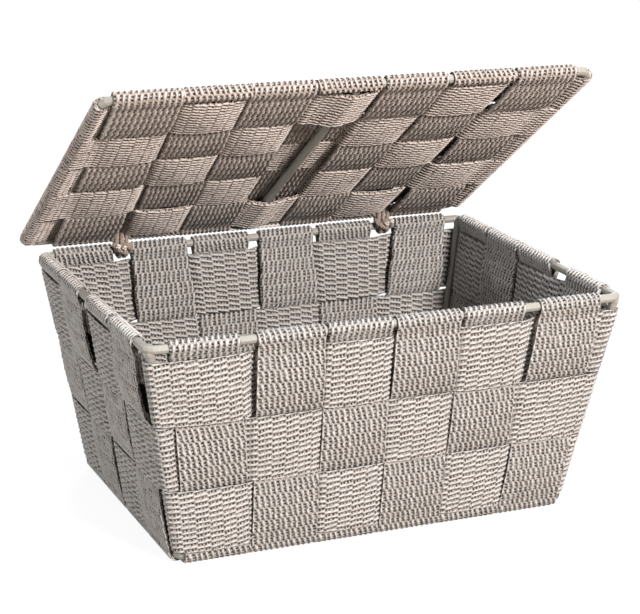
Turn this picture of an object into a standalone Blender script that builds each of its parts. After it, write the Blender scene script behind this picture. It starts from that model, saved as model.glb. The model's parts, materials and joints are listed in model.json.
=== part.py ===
"""Small lidded storage basket, woven from flat webbing over a welded wire frame.

Each wire, each length of webbing and each hinge lashing is an object of its own. Lengths are in
metres, +Z is up, the front faces -Y. The basket stands on z = 0 and the origin is under the
middle of its whole footprint, with the lid propped open as it is at rest.
"""

from math import acos, atan2, cos, pi, radians, sin, sqrt, tan

import bmesh
import bpy
from mathutils import Vector

# Webbing
WEB_WIDTH = 0.023
WEB_THICKNESS = 0.001
CLEARANCE = 0.0003
FLOOR_GAP = 0.0015
ROW_GAP = 0.002
RIM_GAP = 0.002
TUCK = 0.010
KNEE_LEAD = 0.0002
KNEE_SHARE = 0.25

# Wire frame of the basket
ROD_RADIUS = 0.0016
ROD_SIDES = 10
CORNER_STEPS = 4
RIM_CORNER_RADIUS = 0.0035
BASE_CORNER_RADIUS = 0.0035
SIDE_LEAN = radians(10.4)
END_LEAN = radians(8.35)

# Weave of the basket
FLOOR_EDGE_CLEARANCE = 0.0009
BASE_BAND = 0.0029
FOLD_BAND = 0.0035
WEAVE_STANDOFF = 0.00175
RIM_CORNER_CLEARANCE = 0.003
LONG_COUNT = 6
CROSS_COUNT = 4
HOOP_COUNT = 3
FRONT_SHARES = (0.147, 0.273, 0.030, 0.043, 0.039, 0.247, 0.221)
BACK_SHARES = (0.0, 0.0, 0.083, 0.248, 0.083, 0.300, 0.286)
LEFT_SHARES = (0.36, 0.08, 0.56, 0.0, 0.0)
RIGHT_SHARES = (0.31, 0.66, 0.03, 0.0, 0.0)

# Lid
LID_OVERHANG_SIDE = 0.0015
LID_OVERHANG_END = 0.0005
LID_CORNER_RADIUS = 0.005
LID_EDGE_GAP = 0.0040
LID_GAP = 0.0018
LID_COLUMNS = 7
LID_ROWS = 5
LID_SHARES = (0.0, 0.0, 0.01, 0.04, 0.18, 0.23, 0.17, 0.37)
LID_SHIFT = -0.005
LID_OPEN = radians(35.5)
STIFFENER_COLUMN = 4
STIFFENER_LEVEL = -0.001
STIFFENER_APPROACH = 0.006

# Hinge lashings
CORD_RADIUS = 0.00075
CORD_PITCH = 0.00195
CORD_TURNS = 2
CORD_POINTS = 24
CORD_END = 0.004
TIE_AFTER_STRAPS = (1, 5)

# Steps of the arcs in a length of webbing
FOLD_STEPS = 6
QUARTER_STEPS = 4
NUDGE_STEPS = 2

# Finishes, each a linear colour, a roughness and a metallic share
WEBBING = ((0.42, 0.36, 0.31), 0.85, 0.0)
WIRE = ((0.36, 0.33, 0.29), 0.4, 0.3)
CORD = ((0.16, 0.12, 0.10), 0.9, 0.0)
SMOOTH_BELOW = radians(50)

# Sizes that follow
LAYER = WEB_THICKNESS + CLEARANCE
WRAP_RADIUS = ROD_RADIUS + CLEARANCE + WEB_THICKNESS / 2
WRAP_OUTSIDE = WRAP_RADIUS + WEB_THICKNESS / 2
ROW_RISE = WEB_WIDTH * cos((SIDE_LEAN + END_LEAN) / 2)
FLOOR_EDGE = ROD_RADIUS + FLOOR_EDGE_CLEARANCE
RIM_CORNER_GAP = ROD_RADIUS + RIM_CORNER_CLEARANCE

BASE_Z = WRAP_OUTSIDE
FLOOR_Z = WEB_THICKNESS / 2 + LAYER / 2
HOOPS_Z = BASE_Z + BASE_BAND
RIM_Z = HOOPS_Z + HOOP_COUNT * ROW_RISE + (HOOP_COUNT - 1) * ROW_GAP + FOLD_BAND + ROD_RADIUS

FLOOR_PITCH = WEB_WIDTH + FLOOR_GAP
BASE_HALF_X = (LONG_COUNT * FLOOR_PITCH - FLOOR_GAP) / 2 + FLOOR_EDGE
BASE_HALF_Y = (CROSS_COUNT * FLOOR_PITCH - FLOOR_GAP) / 2 + FLOOR_EDGE
RIM_HALF_X = BASE_HALF_X + (RIM_Z - BASE_Z) * tan(SIDE_LEAN)
RIM_HALF_Y = BASE_HALF_Y + (RIM_Z - BASE_Z) * tan(END_LEAN)

LID_HALF_X = RIM_HALF_X + LID_OVERHANG_SIDE
LID_DEPTH = 2 * (RIM_HALF_Y + LID_OVERHANG_END)
LID_WEB = (LID_DEPTH - 2 * LID_EDGE_GAP - (LID_ROWS - 1) * LID_GAP) / LID_ROWS
HINGE_Y = RIM_HALF_Y + LID_OVERHANG_END
HINGE_Z = RIM_Z + 2 * WRAP_OUTSIDE + CLEARANCE

# The two rods that a lashing goes round, as places in Y and Z
RIM_PLACE = Vector((RIM_HALF_Y, RIM_Z))
HINGE_PLACE = Vector((HINGE_Y, HINGE_Z))
TIE_RADIUS = ROD_RADIUS + CLEARANCE + CORD_RADIUS
TIE_RUN = (HINGE_PLACE - RIM_PLACE).length
TIE_LAP = 2 * TIE_RUN + 2 * pi * TIE_RADIUS
TIE_LENGTH = (CORD_TURNS + 0.5) * TIE_LAP
TIE_SPAN = CORD_PITCH * (TIE_LENGTH + 2 * CORD_END) / TIE_LAP + 2 * CORD_RADIUS
TIE_SLOT = TIE_SPAN + 2 * CLEARANCE

# The whole footprint is centred on the origin
PART_X = -(LID_SHIFT - LID_HALF_X + RIM_HALF_X) / 2
PART_Y = -(HINGE_Y - RIM_HALF_Y) / 2


class Bend:
    """A circle that a route passes round in even steps, turning left (+1) or right (-1)."""

    def __init__(self, centre, radius, turn, steps):
        self.centre = Vector(centre)
        self.radius = radius
        self.turn = turn
        self.steps = steps


def around(start, bend, finish):
    """Points of the arc where a route from start to finish lies against a bend."""
    to_start = start - bend.centre
    to_finish = finish - bend.centre
    lead = acos(min(1.0, bend.radius / to_start.length))
    trail = acos(min(1.0, bend.radius / to_finish.length))
    first = atan2(to_start.y, to_start.x) + bend.turn * lead
    last = atan2(to_finish.y, to_finish.x) - bend.turn * trail
    sweep = (bend.turn * (last - first)) % (2 * pi)
    angles = [first + bend.turn * sweep * i / bend.steps for i in range(bend.steps + 1)]
    return [bend.centre + bend.radius * Vector((cos(a), sin(a))) for a in angles]


def route(stops, closed=False):
    """A 2D route through points and round bends, as a list of points."""
    points = []
    for i, stop in enumerate(stops):
        if isinstance(stop, Bend):
            following = stops[(i + 1) % len(stops)] if closed else stops[i + 1]
            points.extend(around(stops[i - 1], stop, following))
        else:
            points.append(stop)
    return points


def both_faces(points, closed):
    """The two faces of a strip of webbing whose middle follows points, mitred at each knee."""
    low = []
    high = []
    count = len(points)
    for i, point in enumerate(points):
        before = point - points[i - 1] if closed or i else points[1] - points[0]
        after = points[(i + 1) % count] - point if closed or i < count - 1 else before
        one = Vector((-before.y, before.x)).normalized()
        two = Vector((-after.y, after.x)).normalized()
        normal = (one + two) / (1 + one.dot(two))
        low.append(point - normal * WEB_THICKNESS / 2)
        high.append(point + normal * WEB_THICKNESS / 2)
    return low, high


def make_material(name, colour, roughness, metallic):
    """A Principled material with an even finish. The colour is linear."""
    material = bpy.data.materials.new(name)
    material.use_nodes = True
    shader = material.node_tree.nodes["Principled BSDF"]
    shader.inputs["Base Color"].default_value = (*colour, 1.0)
    shader.inputs["Roughness"].default_value = roughness
    shader.inputs["Metallic"].default_value = metallic
    material.diffuse_color = (*colour, 1.0)
    return material


def add_object(name, data, material, parent, origin):
    """Put a mesh or a curve in the scene, with its own material, at its place under its parent."""
    item = bpy.data.objects.new(name, data)
    bpy.context.scene.collection.objects.link(item)
    data.materials.append(make_material(name, *material))
    item.parent = parent
    item.location = origin
    return item


def mesh_from(shape, name):
    """Turn a bmesh into a closed mesh that faces out and is shaded smooth over its round parts."""
    bmesh.ops.recalc_face_normals(shape, faces=shape.faces[:])
    mesh = bpy.data.meshes.new(name)
    shape.to_mesh(mesh)
    shape.free()
    mesh.shade_smooth()
    mesh.set_sharp_from_angle(angle=SMOOTH_BELOW)
    return mesh


def add_ribbon(name, edges, places, material, parent, origin, closed=False):
    """A strip of webbing.

    edges holds the 2D routes of its two long edges, point for point, and places the functions
    that put a 2D point of each edge into the parent's space.
    """
    corners = []
    for points, place in zip(edges, places):
        for face in both_faces(points, closed):
            corners.append([place(point) - origin for point in face])
    shape = bmesh.new()
    rings = [[shape.verts.new(corners[k][i]) for k in (0, 1, 3, 2)] for i in range(len(edges[0]))]
    last = len(rings) if closed else len(rings) - 1
    for i in range(last):
        ring = rings[i]
        following = rings[(i + 1) % len(rings)]
        for k in range(4):
            shape.faces.new((ring[k], ring[k - 1], following[k - 1], following[k]))
    if not closed:
        shape.faces.new(rings[0])
        shape.faces.new(rings[-1])
    return add_object(name, mesh_from(shape, name), material, parent, origin)


def add_tube(name, points, radius, resolution, material, parent, origin, closed=False):
    """A round wire or cord along points, with filled ends."""
    curve = bpy.data.curves.new(name, "CURVE")
    curve.dimensions = "3D"
    curve.bevel_depth = radius
    curve.bevel_resolution = resolution
    curve.use_fill_caps = True
    spline = curve.splines.new("POLY")
    spline.points.add(len(points) - 1)
    for knot, point in zip(spline.points, points):
        knot.co = (*(point - origin), 1.0)
    spline.use_cyclic_u = closed
    spline.use_smooth = True
    return add_object(name, curve, material, parent, origin)


def add_bar(name, start, finish, material, parent):
    """A straight wire whose end faces lie square to the nearest axis of its run."""
    run = finish - start
    shape = bmesh.new()
    axis = max(range(3), key=lambda k: abs(run[k]))
    ring = []
    for i in range(ROD_SIDES):
        angle = 2 * pi * i / ROD_SIDES
        place = Vector((0.0, 0.0, 0.0))
        place[(axis + 1) % 3] = ROD_RADIUS * cos(angle)
        place[(axis + 2) % 3] = ROD_RADIUS * sin(angle)
        ring.append(shape.verts.new(place))
    cap = shape.faces.new(ring)
    grown = bmesh.ops.extrude_face_region(shape, geom=[cap])
    moved = [v for v in grown["geom"] if isinstance(v, bmesh.types.BMVert)]
    bmesh.ops.translate(shape, verts=moved, vec=run)
    return add_object(name, mesh_from(shape, name), material, parent, start)


def rounded_rectangle(half_x, half_y, radius, centre):
    """Corner points of a wire ring's middle line, anticlockwise from its front right corner."""
    points = []
    for quarter, (side_x, side_y) in enumerate(((1, -1), (1, 1), (-1, 1), (-1, -1))):
        corner = Vector((side_x * (half_x - radius), side_y * (half_y - radius), 0.0))
        for i in range(CORNER_STEPS + 1):
            angle = (quarter - 1 + i / CORNER_STEPS) * pi / 2
            points.append(centre + corner + radius * Vector((cos(angle), sin(angle), 0.0)))
    return points


def side_by_side(half_length, width, gaps, shares):
    """Middles of straps along a rod, from the least gaps and the shares of the room left over."""
    room = 2 * half_length - width * (len(gaps) - 1) - sum(gaps)
    edge = -half_length
    middles = []
    for gap, share in zip(gaps[:-1], shares):
        edge += gap + share * room
        middles.append(edge + width / 2)
        edge += width
    return middles


def hoop_heights(row):
    """Lower and upper edge of a hoop, row 0 being the top one."""
    low = HOOPS_Z + (HOOP_COUNT - 1 - row) * (ROW_RISE + ROW_GAP)
    return low, low + ROW_RISE


def up_share(z):
    """0 at the base rod and 1 at the rim rod."""
    return min(1.0, max(0.0, (z - BASE_Z) / (RIM_Z - BASE_Z)))


def wall_x(z):
    """Half the length of the woven wall's middle surface at height z."""
    return RIM_HALF_X + (up_share(z) - 1) * (RIM_HALF_X - BASE_HALF_X - WEAVE_STANDOFF)


def wall_y(z):
    """Half the depth of the woven wall's middle surface at height z."""
    return RIM_HALF_Y + (up_share(z) - 1) * (RIM_HALF_Y - BASE_HALF_Y - WEAVE_STANDOFF)


def wall_level(row):
    """How far an upright strap and a hoop each lie from the wall's middle surface."""
    return LAYER if row == 0 else LAYER / 2


def floor_middles(count):
    """Middles of the straps that lie side by side across the floor."""
    return [(i - (count - 1) / 2) * FLOOR_PITCH for i in range(count)]


LONG_BASE = floor_middles(LONG_COUNT)
LONG_FRONT = side_by_side(
    RIM_HALF_X, WEB_WIDTH, (RIM_CORNER_GAP, *[RIM_GAP] * (LONG_COUNT - 1), RIM_CORNER_GAP), FRONT_SHARES
)
BACK_GAPS = [TIE_SLOT if i in TIE_AFTER_STRAPS else RIM_GAP for i in range(1, LONG_COUNT)]
LONG_BACK = side_by_side(
    RIM_HALF_X, WEB_WIDTH, (RIM_CORNER_GAP, *BACK_GAPS, RIM_CORNER_GAP), BACK_SHARES
)
CROSS_BASE = floor_middles(CROSS_COUNT)
CROSS_GAPS = (RIM_CORNER_GAP, *[RIM_GAP] * (CROSS_COUNT - 1), RIM_CORNER_GAP)
CROSS_LEFT = side_by_side(RIM_HALF_Y, WEB_WIDTH, CROSS_GAPS, LEFT_SHARES)
CROSS_RIGHT = side_by_side(RIM_HALF_Y, WEB_WIDTH, CROSS_GAPS, RIGHT_SHARES)
TIES_X = [(LONG_BACK[i - 1] + LONG_BACK[i]) / 2 for i in TIE_AFTER_STRAPS]


def between(low, high, share):
    """The value a share of the way from low to high."""
    return low + (high - low) * share


def wall_stops(side, first, wall, rim_half):
    """Stops of a strap from its tucked end, over the rim rod and down one wall.

    side is the sign of the wall's own axis, first the strap's side of the top hoop: +1 outside.
    """
    hoops = [hoop_heights(row) for row in range(HOOP_COUNT)]
    top = hoops[0][1] + KNEE_LEAD

    def stop(z, level):
        return Vector((side * (wall(z) + level), z))

    stops = [
        stop(hoops[0][1] - TUCK, 0.0),
        stop(top, 0.0),
        Bend((side * rim_half, RIM_Z), WRAP_RADIUS, first, FOLD_STEPS),
    ]
    sign = first
    for row, (low, high) in enumerate(hoops):
        lead = KNEE_SHARE * ROW_GAP
        upper = top if row == 0 else high + lead
        lower = low - (KNEE_LEAD if row == HOOP_COUNT - 1 else lead)
        stops.append(stop(upper, sign * wall_level(row)))
        stops.append(stop(lower, sign * wall_level(row)))
        sign = -sign
    return stops


def floor_stops(first, crossed):
    """Stops of a strap over the straps that it crosses in the floor, from - to +."""
    stops = []
    sign = first
    for i, middle in enumerate(crossed):
        height = FLOOR_Z - sign * LAYER / 2
        before = KNEE_LEAD if i == 0 else KNEE_SHARE * FLOOR_GAP
        after = KNEE_LEAD if i == len(crossed) - 1 else KNEE_SHARE * FLOOR_GAP
        stops.append(Vector((middle - WEB_WIDTH / 2 - before, height)))
        stops.append(Vector((middle + WEB_WIDTH / 2 + after, height)))
        sign = -sign
    return stops


def strap_route(first, wall, rim_half, base_half, crossed):
    """Middle line of a strap from rim to rim, under the floor. first is +1 outside the top hoop."""
    to_floor = first * (-1) ** HOOP_COUNT
    last = to_floor * (-1) ** (len(crossed) + HOOP_COUNT - 1)
    stops = wall_stops(-1, first, wall, rim_half)
    stops.append(Bend((-base_half, BASE_Z), WRAP_RADIUS, 1, QUARTER_STEPS))
    stops.extend(floor_stops(to_floor, crossed))
    stops.append(Bend((base_half, BASE_Z), WRAP_RADIUS, 1, QUARTER_STEPS))
    stops.extend(reversed(wall_stops(1, last, wall, rim_half)))
    return route(stops)


def add_long_straps(parent, material):
    """The straps that run from the front rim, under the floor, to the back rim."""
    for i, base in enumerate(LONG_BASE):
        points = strap_route(-1 if i % 2 == 0 else 1, wall_y, RIM_HALF_Y, BASE_HALF_Y, CROSS_BASE)

        def middle(point, base=base, front=LONG_FRONT[i], back=LONG_BACK[i]):
            return between(base, front if point.x < 0 else back, up_share(point.y))

        places = [
            lambda p, middle=middle, side=side: Vector((middle(p) + side * WEB_WIDTH / 2, p.x, p.y))
            for side in (-1, 1)
        ]
        origin = Vector((base, 0.0, 0.0))
        add_ribbon(f"front_to_back_strap_{i + 1}", (points, points), places, material, parent, origin)


def add_cross_straps(parent, material):
    """The straps that run from the left rim, under the floor, to the right rim."""
    for i, base in enumerate(CROSS_BASE):
        points = strap_route(1 if i % 2 == 0 else -1, wall_x, RIM_HALF_X, BASE_HALF_X, LONG_BASE)

        def middle(point, base=base, left=CROSS_LEFT[i], right=CROSS_RIGHT[i]):
            return between(base, left if point.x < 0 else right, up_share(point.y))

        places = [
            lambda p, middle=middle, side=side: Vector((p.x, middle(p) + side * WEB_WIDTH / 2, p.y))
            for side in (-1, 1)
        ]
        origin = Vector((0.0, base, 0.0))
        add_ribbon(f"side_to_side_strap_{i + 1}", (points, points), places, material, parent, origin)


def corner_inset(radius):
    """How far a wire's rounded corner lies inside the square corner, along each axis."""
    return radius * (1 - sqrt(0.5))


def post_middle(z):
    """Half length and half depth at which a corner post's middle stands at height z."""
    base = corner_inset(BASE_CORNER_RADIUS)
    rim = corner_inset(RIM_CORNER_RADIUS)
    share = up_share(z)
    return Vector((
        between(BASE_HALF_X - base, RIM_HALF_X - rim, share),
        between(BASE_HALF_Y - base, RIM_HALF_Y - rim, share),
    ))


def hoop_route(row, z):
    """Middle line of a hoop in plan at height z, anticlockwise from the front left corner."""
    share = up_share(z)
    fronts = [between(a, b, share) for a, b in zip(LONG_BASE, LONG_FRONT)]
    backs = [between(a, b, share) for a, b in zip(LONG_BASE, LONG_BACK)]
    lefts = [between(a, b, share) for a, b in zip(CROSS_BASE, CROSS_LEFT)]
    rights = [between(a, b, share) for a, b in zip(CROSS_BASE, CROSS_RIGHT)]
    walls = (
        (Vector((1, 0)), Vector((0, -1)), wall_y(z), fronts),
        (Vector((0, 1)), Vector((1, 0)), wall_x(z), rights),
        (Vector((-1, 0)), Vector((0, 1)), wall_y(z), [-x for x in reversed(backs)]),
        (Vector((0, -1)), Vector((-1, 0)), wall_x(z), [-y for y in reversed(lefts)]),
    )
    sign = 1 if row % 2 == 0 else -1
    level = wall_level(row)
    post = post_middle(z)
    stops = []
    for along, out, wall, middles in walls:
        for i, middle in enumerate(middles):
            start = middle - WEB_WIDTH / 2
            end = middle + WEB_WIDTH / 2
            first = i == 0
            final = i == len(middles) - 1
            before = KNEE_LEAD if first else KNEE_SHARE * (middle - middles[i - 1] - WEB_WIDTH)
            after = KNEE_LEAD if final else KNEE_SHARE * (middles[i + 1] - middle - WEB_WIDTH)
            for place in (start - before, end + after):
                stops.append(along * place + out * (wall + sign * level))
            sign = -sign
        corner = along + out
        stops.append(Bend((corner.x * post.x, corner.y * post.y), WRAP_RADIUS, 1, QUARTER_STEPS))
    return route(stops, closed=True)


def add_hoops(parent, material):
    """The closed bands of webbing that run round the walls, outside the corner posts."""
    for row in range(HOOP_COUNT):
        heights = hoop_heights(row)
        edges = [hoop_route(row, z) for z in heights]
        places = [lambda p, z=z: Vector((p.x, p.y, z)) for z in heights]
        origin = Vector((0.0, 0.0, sum(heights) / 2))
        add_ribbon(f"hoop_band_{row + 1}", edges, places, material, parent, origin, closed=True)


def add_frame(parent, material):
    """The rim rod, the base rod and the four posts that join them at the corners."""
    rim = Vector((0.0, 0.0, RIM_Z))
    base = Vector((0.0, 0.0, BASE_Z))
    resolution = ROD_SIDES // 2 - 2
    rings = (
        ("rim_rod", RIM_HALF_X, RIM_HALF_Y, RIM_CORNER_RADIUS, rim),
        ("base_rod", BASE_HALF_X, BASE_HALF_Y, BASE_CORNER_RADIUS, base),
    )
    for name, half_x, half_y, radius, centre in rings:
        points = rounded_rectangle(half_x, half_y, radius, centre)
        add_tube(name, points, ROD_RADIUS, resolution, material, parent, centre, closed=True)
    reach = ROD_RADIUS + CLEARANCE
    foot = post_middle(BASE_Z + reach)
    head = post_middle(RIM_Z - reach)
    for end, y in (("front", -1), ("back", 1)):
        for side, x in (("left", -1), ("right", 1)):
            start = Vector((x * foot.x, y * foot.y, BASE_Z + reach))
            finish = Vector((x * head.x, y * head.y, RIM_Z - reach))
            add_bar(f"corner_post_{end}_{side}", start, finish, material, parent)


def lid_columns():
    """Left and right edges of the lid's short straps, at the far rod and at the hinge rod."""
    gaps = (LID_EDGE_GAP, *[LID_GAP] * (LID_COLUMNS - 1), LID_EDGE_GAP)
    middles = side_by_side(LID_HALF_X, LID_WEB, gaps, LID_SHARES)
    far = [(x - LID_WEB / 2, x + LID_WEB / 2) for x in middles]
    left_tie, right_tie = [x - LID_SHIFT for x in TIES_X]
    left_edge = left_tie + TIE_SLOT / 2
    inner = LID_COLUMNS - 2
    pinched = (right_tie - TIE_SLOT / 2 - left_edge - (inner - 1) * LID_GAP) / inner
    near = [(left_tie - TIE_SLOT / 2 - LID_WEB, left_tie - TIE_SLOT / 2)]
    for i in range(inner):
        start = left_edge + i * (pinched + LID_GAP)
        near.append((start, start + pinched))
    near.append((right_tie + TIE_SLOT / 2, right_tie + TIE_SLOT / 2 + LID_WEB))
    return far, near


def lid_rows():
    """Near and far edges of the lid's long straps, measured from the hinge rod, far row first."""
    rows = []
    for i in range(LID_ROWS):
        near = LID_EDGE_GAP + (LID_ROWS - 1 - i) * (LID_WEB + LID_GAP)
        rows.append((near, near + LID_WEB))
    return rows


LID_FAR, LID_NEAR = lid_columns()
LID_ROW_EDGES = lid_rows()
STIFFENER_X = sum(LID_FAR[STIFFENER_COLUMN - 1]) / 4 + sum(LID_NEAR[STIFFENER_COLUMN - 1]) / 4
BEHIND_STIFFENER = STIFFENER_LEVEL + WRAP_RADIUS


def lid_levels(row, column):
    """Levels of a short strap, its tail, a long strap and its tail where they cross in the lid.

    Rows and columns count from 1. Level 0 is the middle of the rods, + is the lid's outer face.
    """
    sign = -1 if (row + column) % 2 == 0 else 1
    if column == STIFFENER_COLUMN:
        if row in (1, LID_ROWS):
            return BEHIND_STIFFENER, None, -LAYER, None
        middle = BEHIND_STIFFENER + LAYER / 2
        return middle + sign * LAYER / 2, None, middle - sign * LAYER / 2, None
    short_tail = row in (1, LID_ROWS)
    long_tail = column in (1, LID_COLUMNS)
    top = (1 + short_tail + long_tail) / 2
    levels = [sign * LAYER * top, sign * LAYER * (top - 1), -sign * LAYER * top, -sign * LAYER * (top - 1)]
    return levels[0], levels[1] if short_tail else None, levels[2], levels[3] if long_tail else None


def flat_stops(flats):
    """Stops over a row of crossings, each (start, end, level), with a knee in each gap."""
    stops = []
    for i, (start, end, level) in enumerate(flats):
        before = KNEE_LEAD if i == 0 else KNEE_SHARE * (start - flats[i - 1][1])
        after = KNEE_LEAD if i == len(flats) - 1 else KNEE_SHARE * (flats[i + 1][0] - end)
        stops.append(Vector((start - before, level)))
        stops.append(Vector((end + after, level)))
    return stops


def ended(stops, rods, levels, tails):
    """Add both folded ends to a lid strap: round each rod and back under the first crossing."""
    ends = []
    for rod, level, tail, way in zip(rods, levels, tails, (1, -1)):
        edge = stops[0].x if way == 1 else stops[-1].x
        side = 1 if level > 0 else -1
        fold = [Bend((rod, 0.0), WRAP_RADIUS, -side, FOLD_STEPS)]
        if tail is None:
            fold.append(Vector((rod, -side * WRAP_RADIUS)))
        else:
            fold.append(Vector((edge, tail)))
            fold.append(Vector((edge + way * TUCK, tail)))
        ends.append(fold)
    return ends[0][::-1] + stops + ends[1]


def add_short_lid_straps(parent, material):
    """The straps that run from the lid's hinge rod to its far rod."""
    for column in range(1, LID_COLUMNS + 1):
        rows = range(LID_ROWS, 0, -1)
        levels = [lid_levels(row, column) for row in rows]
        flats = [(*LID_ROW_EDGES[row - 1], level[0]) for row, level in zip(rows, levels)]
        ends = (levels[0], levels[-1])
        stops = ended(
            flat_stops(flats), (0.0, LID_DEPTH), [e[0] for e in ends], [e[1] for e in ends]
        )
        points = route(stops)
        far = LID_FAR[column - 1]
        near = LID_NEAR[column - 1]
        places = [
            lambda p, k=k, near=near, far=far: Vector(
                (between(near[k], far[k], min(1.0, max(0.0, p.x / LID_DEPTH))), -p.x, p.y)
            )
            for k in (0, 1)
        ]
        origin = Vector(((sum(near) + sum(far)) / 4, -LID_DEPTH / 2, 0.0))
        add_ribbon(f"lid_short_strap_{column}", (points, points), places, material, parent, origin)


def long_lid_route(row, v):
    """Middle line of one edge of a long lid strap, at the distance v from the hinge rod."""
    share = v / LID_DEPTH
    levels = [lid_levels(row, column) for column in range(1, LID_COLUMNS + 1)]
    flats = []
    for near, far, level in zip(LID_NEAR, LID_FAR, levels):
        flats.append((between(near[0], far[0], share), between(near[1], far[1], share), level[2]))
    stops = flat_stops(flats)
    if row in (1, LID_ROWS):
        over = [
            Vector((STIFFENER_X - STIFFENER_APPROACH, -LAYER)),
            Bend((STIFFENER_X, STIFFENER_LEVEL), WRAP_RADIUS, 1, NUDGE_STEPS),
            Vector((STIFFENER_X + STIFFENER_APPROACH, -LAYER)),
        ]
        after = 2 * STIFFENER_COLUMN - 1
        stops[after:after] = over
    ends = (levels[0], levels[-1])
    stops = ended(
        stops, (-LID_HALF_X, LID_HALF_X), [e[2] for e in ends], [e[3] for e in ends]
    )
    return route(stops)


def add_long_lid_straps(parent, material):
    """The straps that run along the lid from its left rod to its right rod."""
    for row in range(1, LID_ROWS + 1):
        edges = [long_lid_route(row, v) for v in LID_ROW_EDGES[row - 1]]
        places = [lambda p, v=v: Vector((p.x, -v, p.y)) for v in LID_ROW_EDGES[row - 1]]
        origin = Vector((0.0, -sum(LID_ROW_EDGES[row - 1]) / 2, 0.0))
        add_ribbon(f"lid_long_strap_{row}", edges, places, material, parent, origin)


def add_lid_frame(parent, material):
    """The lid's wire ring and the stiffening wire across its inner face."""
    centre = Vector((0.0, -LID_DEPTH / 2, 0.0))
    points = rounded_rectangle(LID_HALF_X, LID_DEPTH / 2, LID_CORNER_RADIUS, centre)
    resolution = ROD_SIDES // 2 - 2
    add_tube("lid_rim_rod", points, ROD_RADIUS, resolution, material, parent, centre, closed=True)
    reach = ROD_RADIUS + CLEARANCE
    start = Vector((STIFFENER_X, -reach, STIFFENER_LEVEL))
    finish = Vector((STIFFENER_X, reach - LID_DEPTH, STIFFENER_LEVEL))
    add_bar("lid_cross_rod", start, finish, material, parent)


def tie_points(x):
    """A lashing's cord: turns round both rods at the hinge, then a straight end at each side."""
    axis = (HINGE_PLACE - RIM_PLACE).normalized()
    left = Vector((-axis.y, axis.x))

    def on_loop(distance):
        distance %= TIE_LAP
        if distance < TIE_RUN:
            return RIM_PLACE + axis * distance + left * TIE_RADIUS
        distance -= TIE_RUN
        if distance < pi * TIE_RADIUS:
            angle = distance / TIE_RADIUS
            return HINGE_PLACE + TIE_RADIUS * (left * cos(angle) + axis * sin(angle))
        distance -= pi * TIE_RADIUS
        if distance < TIE_RUN:
            return HINGE_PLACE - axis * distance - left * TIE_RADIUS
        angle = (distance - TIE_RUN) / TIE_RADIUS
        return RIM_PLACE - TIE_RADIUS * (left * cos(angle) + axis * sin(angle))

    count = round(TIE_LENGTH / TIE_LAP * CORD_POINTS)
    points = []
    for i in range(count + 1):
        distance = TIE_LENGTH * i / count
        spot = on_loop(distance)
        along = CORD_PITCH * (distance - TIE_LENGTH / 2) / TIE_LAP
        points.append(Vector((x + along, spot.x, spot.y)))
    down = -axis * CORD_END
    drift = CORD_PITCH * CORD_END / TIE_LAP
    first = points[0] + Vector((-drift, down.x, down.y))
    last = points[-1] + Vector((drift, down.x, down.y))
    return [first, *points, last]


def least_gap(points, lap_points):
    """Least distance between surfaces of two turns of a cord, measured on its points."""
    least = min(
        (points[i] - points[j]).length
        for i in range(len(points))
        for j in range(i + lap_points // 2, len(points))
    )
    return least - 2 * CORD_RADIUS


def add_ties(parent, material):
    """The two cord lashings that hold the lid's hinge rod to the rim rod."""
    for name, x in zip(("left", "right"), TIES_X):
        points = tie_points(x)
        print(f"hinge_tie_{name}: least gap {least_gap(points, CORD_POINTS) * 1000:.2f} mm")
        origin = Vector((x, RIM_HALF_Y, RIM_Z))
        add_tube(f"hinge_tie_{name}", points, CORD_RADIUS, 1, material, parent, origin)


def add_empty(name, parent, origin):
    """An empty that carries the pieces of one moving group."""
    empty = bpy.data.objects.new(name, None)
    bpy.context.scene.collection.objects.link(empty)
    empty.parent = parent
    empty.location = origin
    return empty


def main():
    """Build the basket, with its lid held open on its hinge."""
    for item in list(bpy.data.objects):
        bpy.data.objects.remove(item, do_unlink=True)

    basket = add_empty("basket", None, Vector((PART_X, PART_Y, 0.0)))
    add_frame(basket, WIRE)
    add_long_straps(basket, WEBBING)
    add_cross_straps(basket, WEBBING)
    add_hoops(basket, WEBBING)
    add_ties(basket, CORD)

    lid = add_empty("lid", basket, Vector((LID_SHIFT, HINGE_Y, HINGE_Z)))
    lid.rotation_euler.x = -LID_OPEN
    add_lid_frame(lid, WIRE)
    add_short_lid_straps(lid, WEBBING)
    add_long_lid_straps(lid, WEBBING)


main()
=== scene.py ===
"""The look of a small lidded storage basket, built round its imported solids.

Flat polypropylene webbing is woven over a welded, powder-coated wire frame, and a lid of the
same weave is lashed to the back rim with twisted cord. Lengths are in metres and +Z is up.
"""

import json
import logging
from dataclasses import dataclass, field, replace
from enum import Enum
from functools import partial
from math import acos, atan2, cos, pi, radians, sin, sqrt, tan
from typing import Sequence

import bpy
import numpy as np
from bpy.types import Material, Mesh, Node, NodeSocket, NodeTree
from mathutils import Euler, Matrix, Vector
from numpy import ndarray


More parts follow.
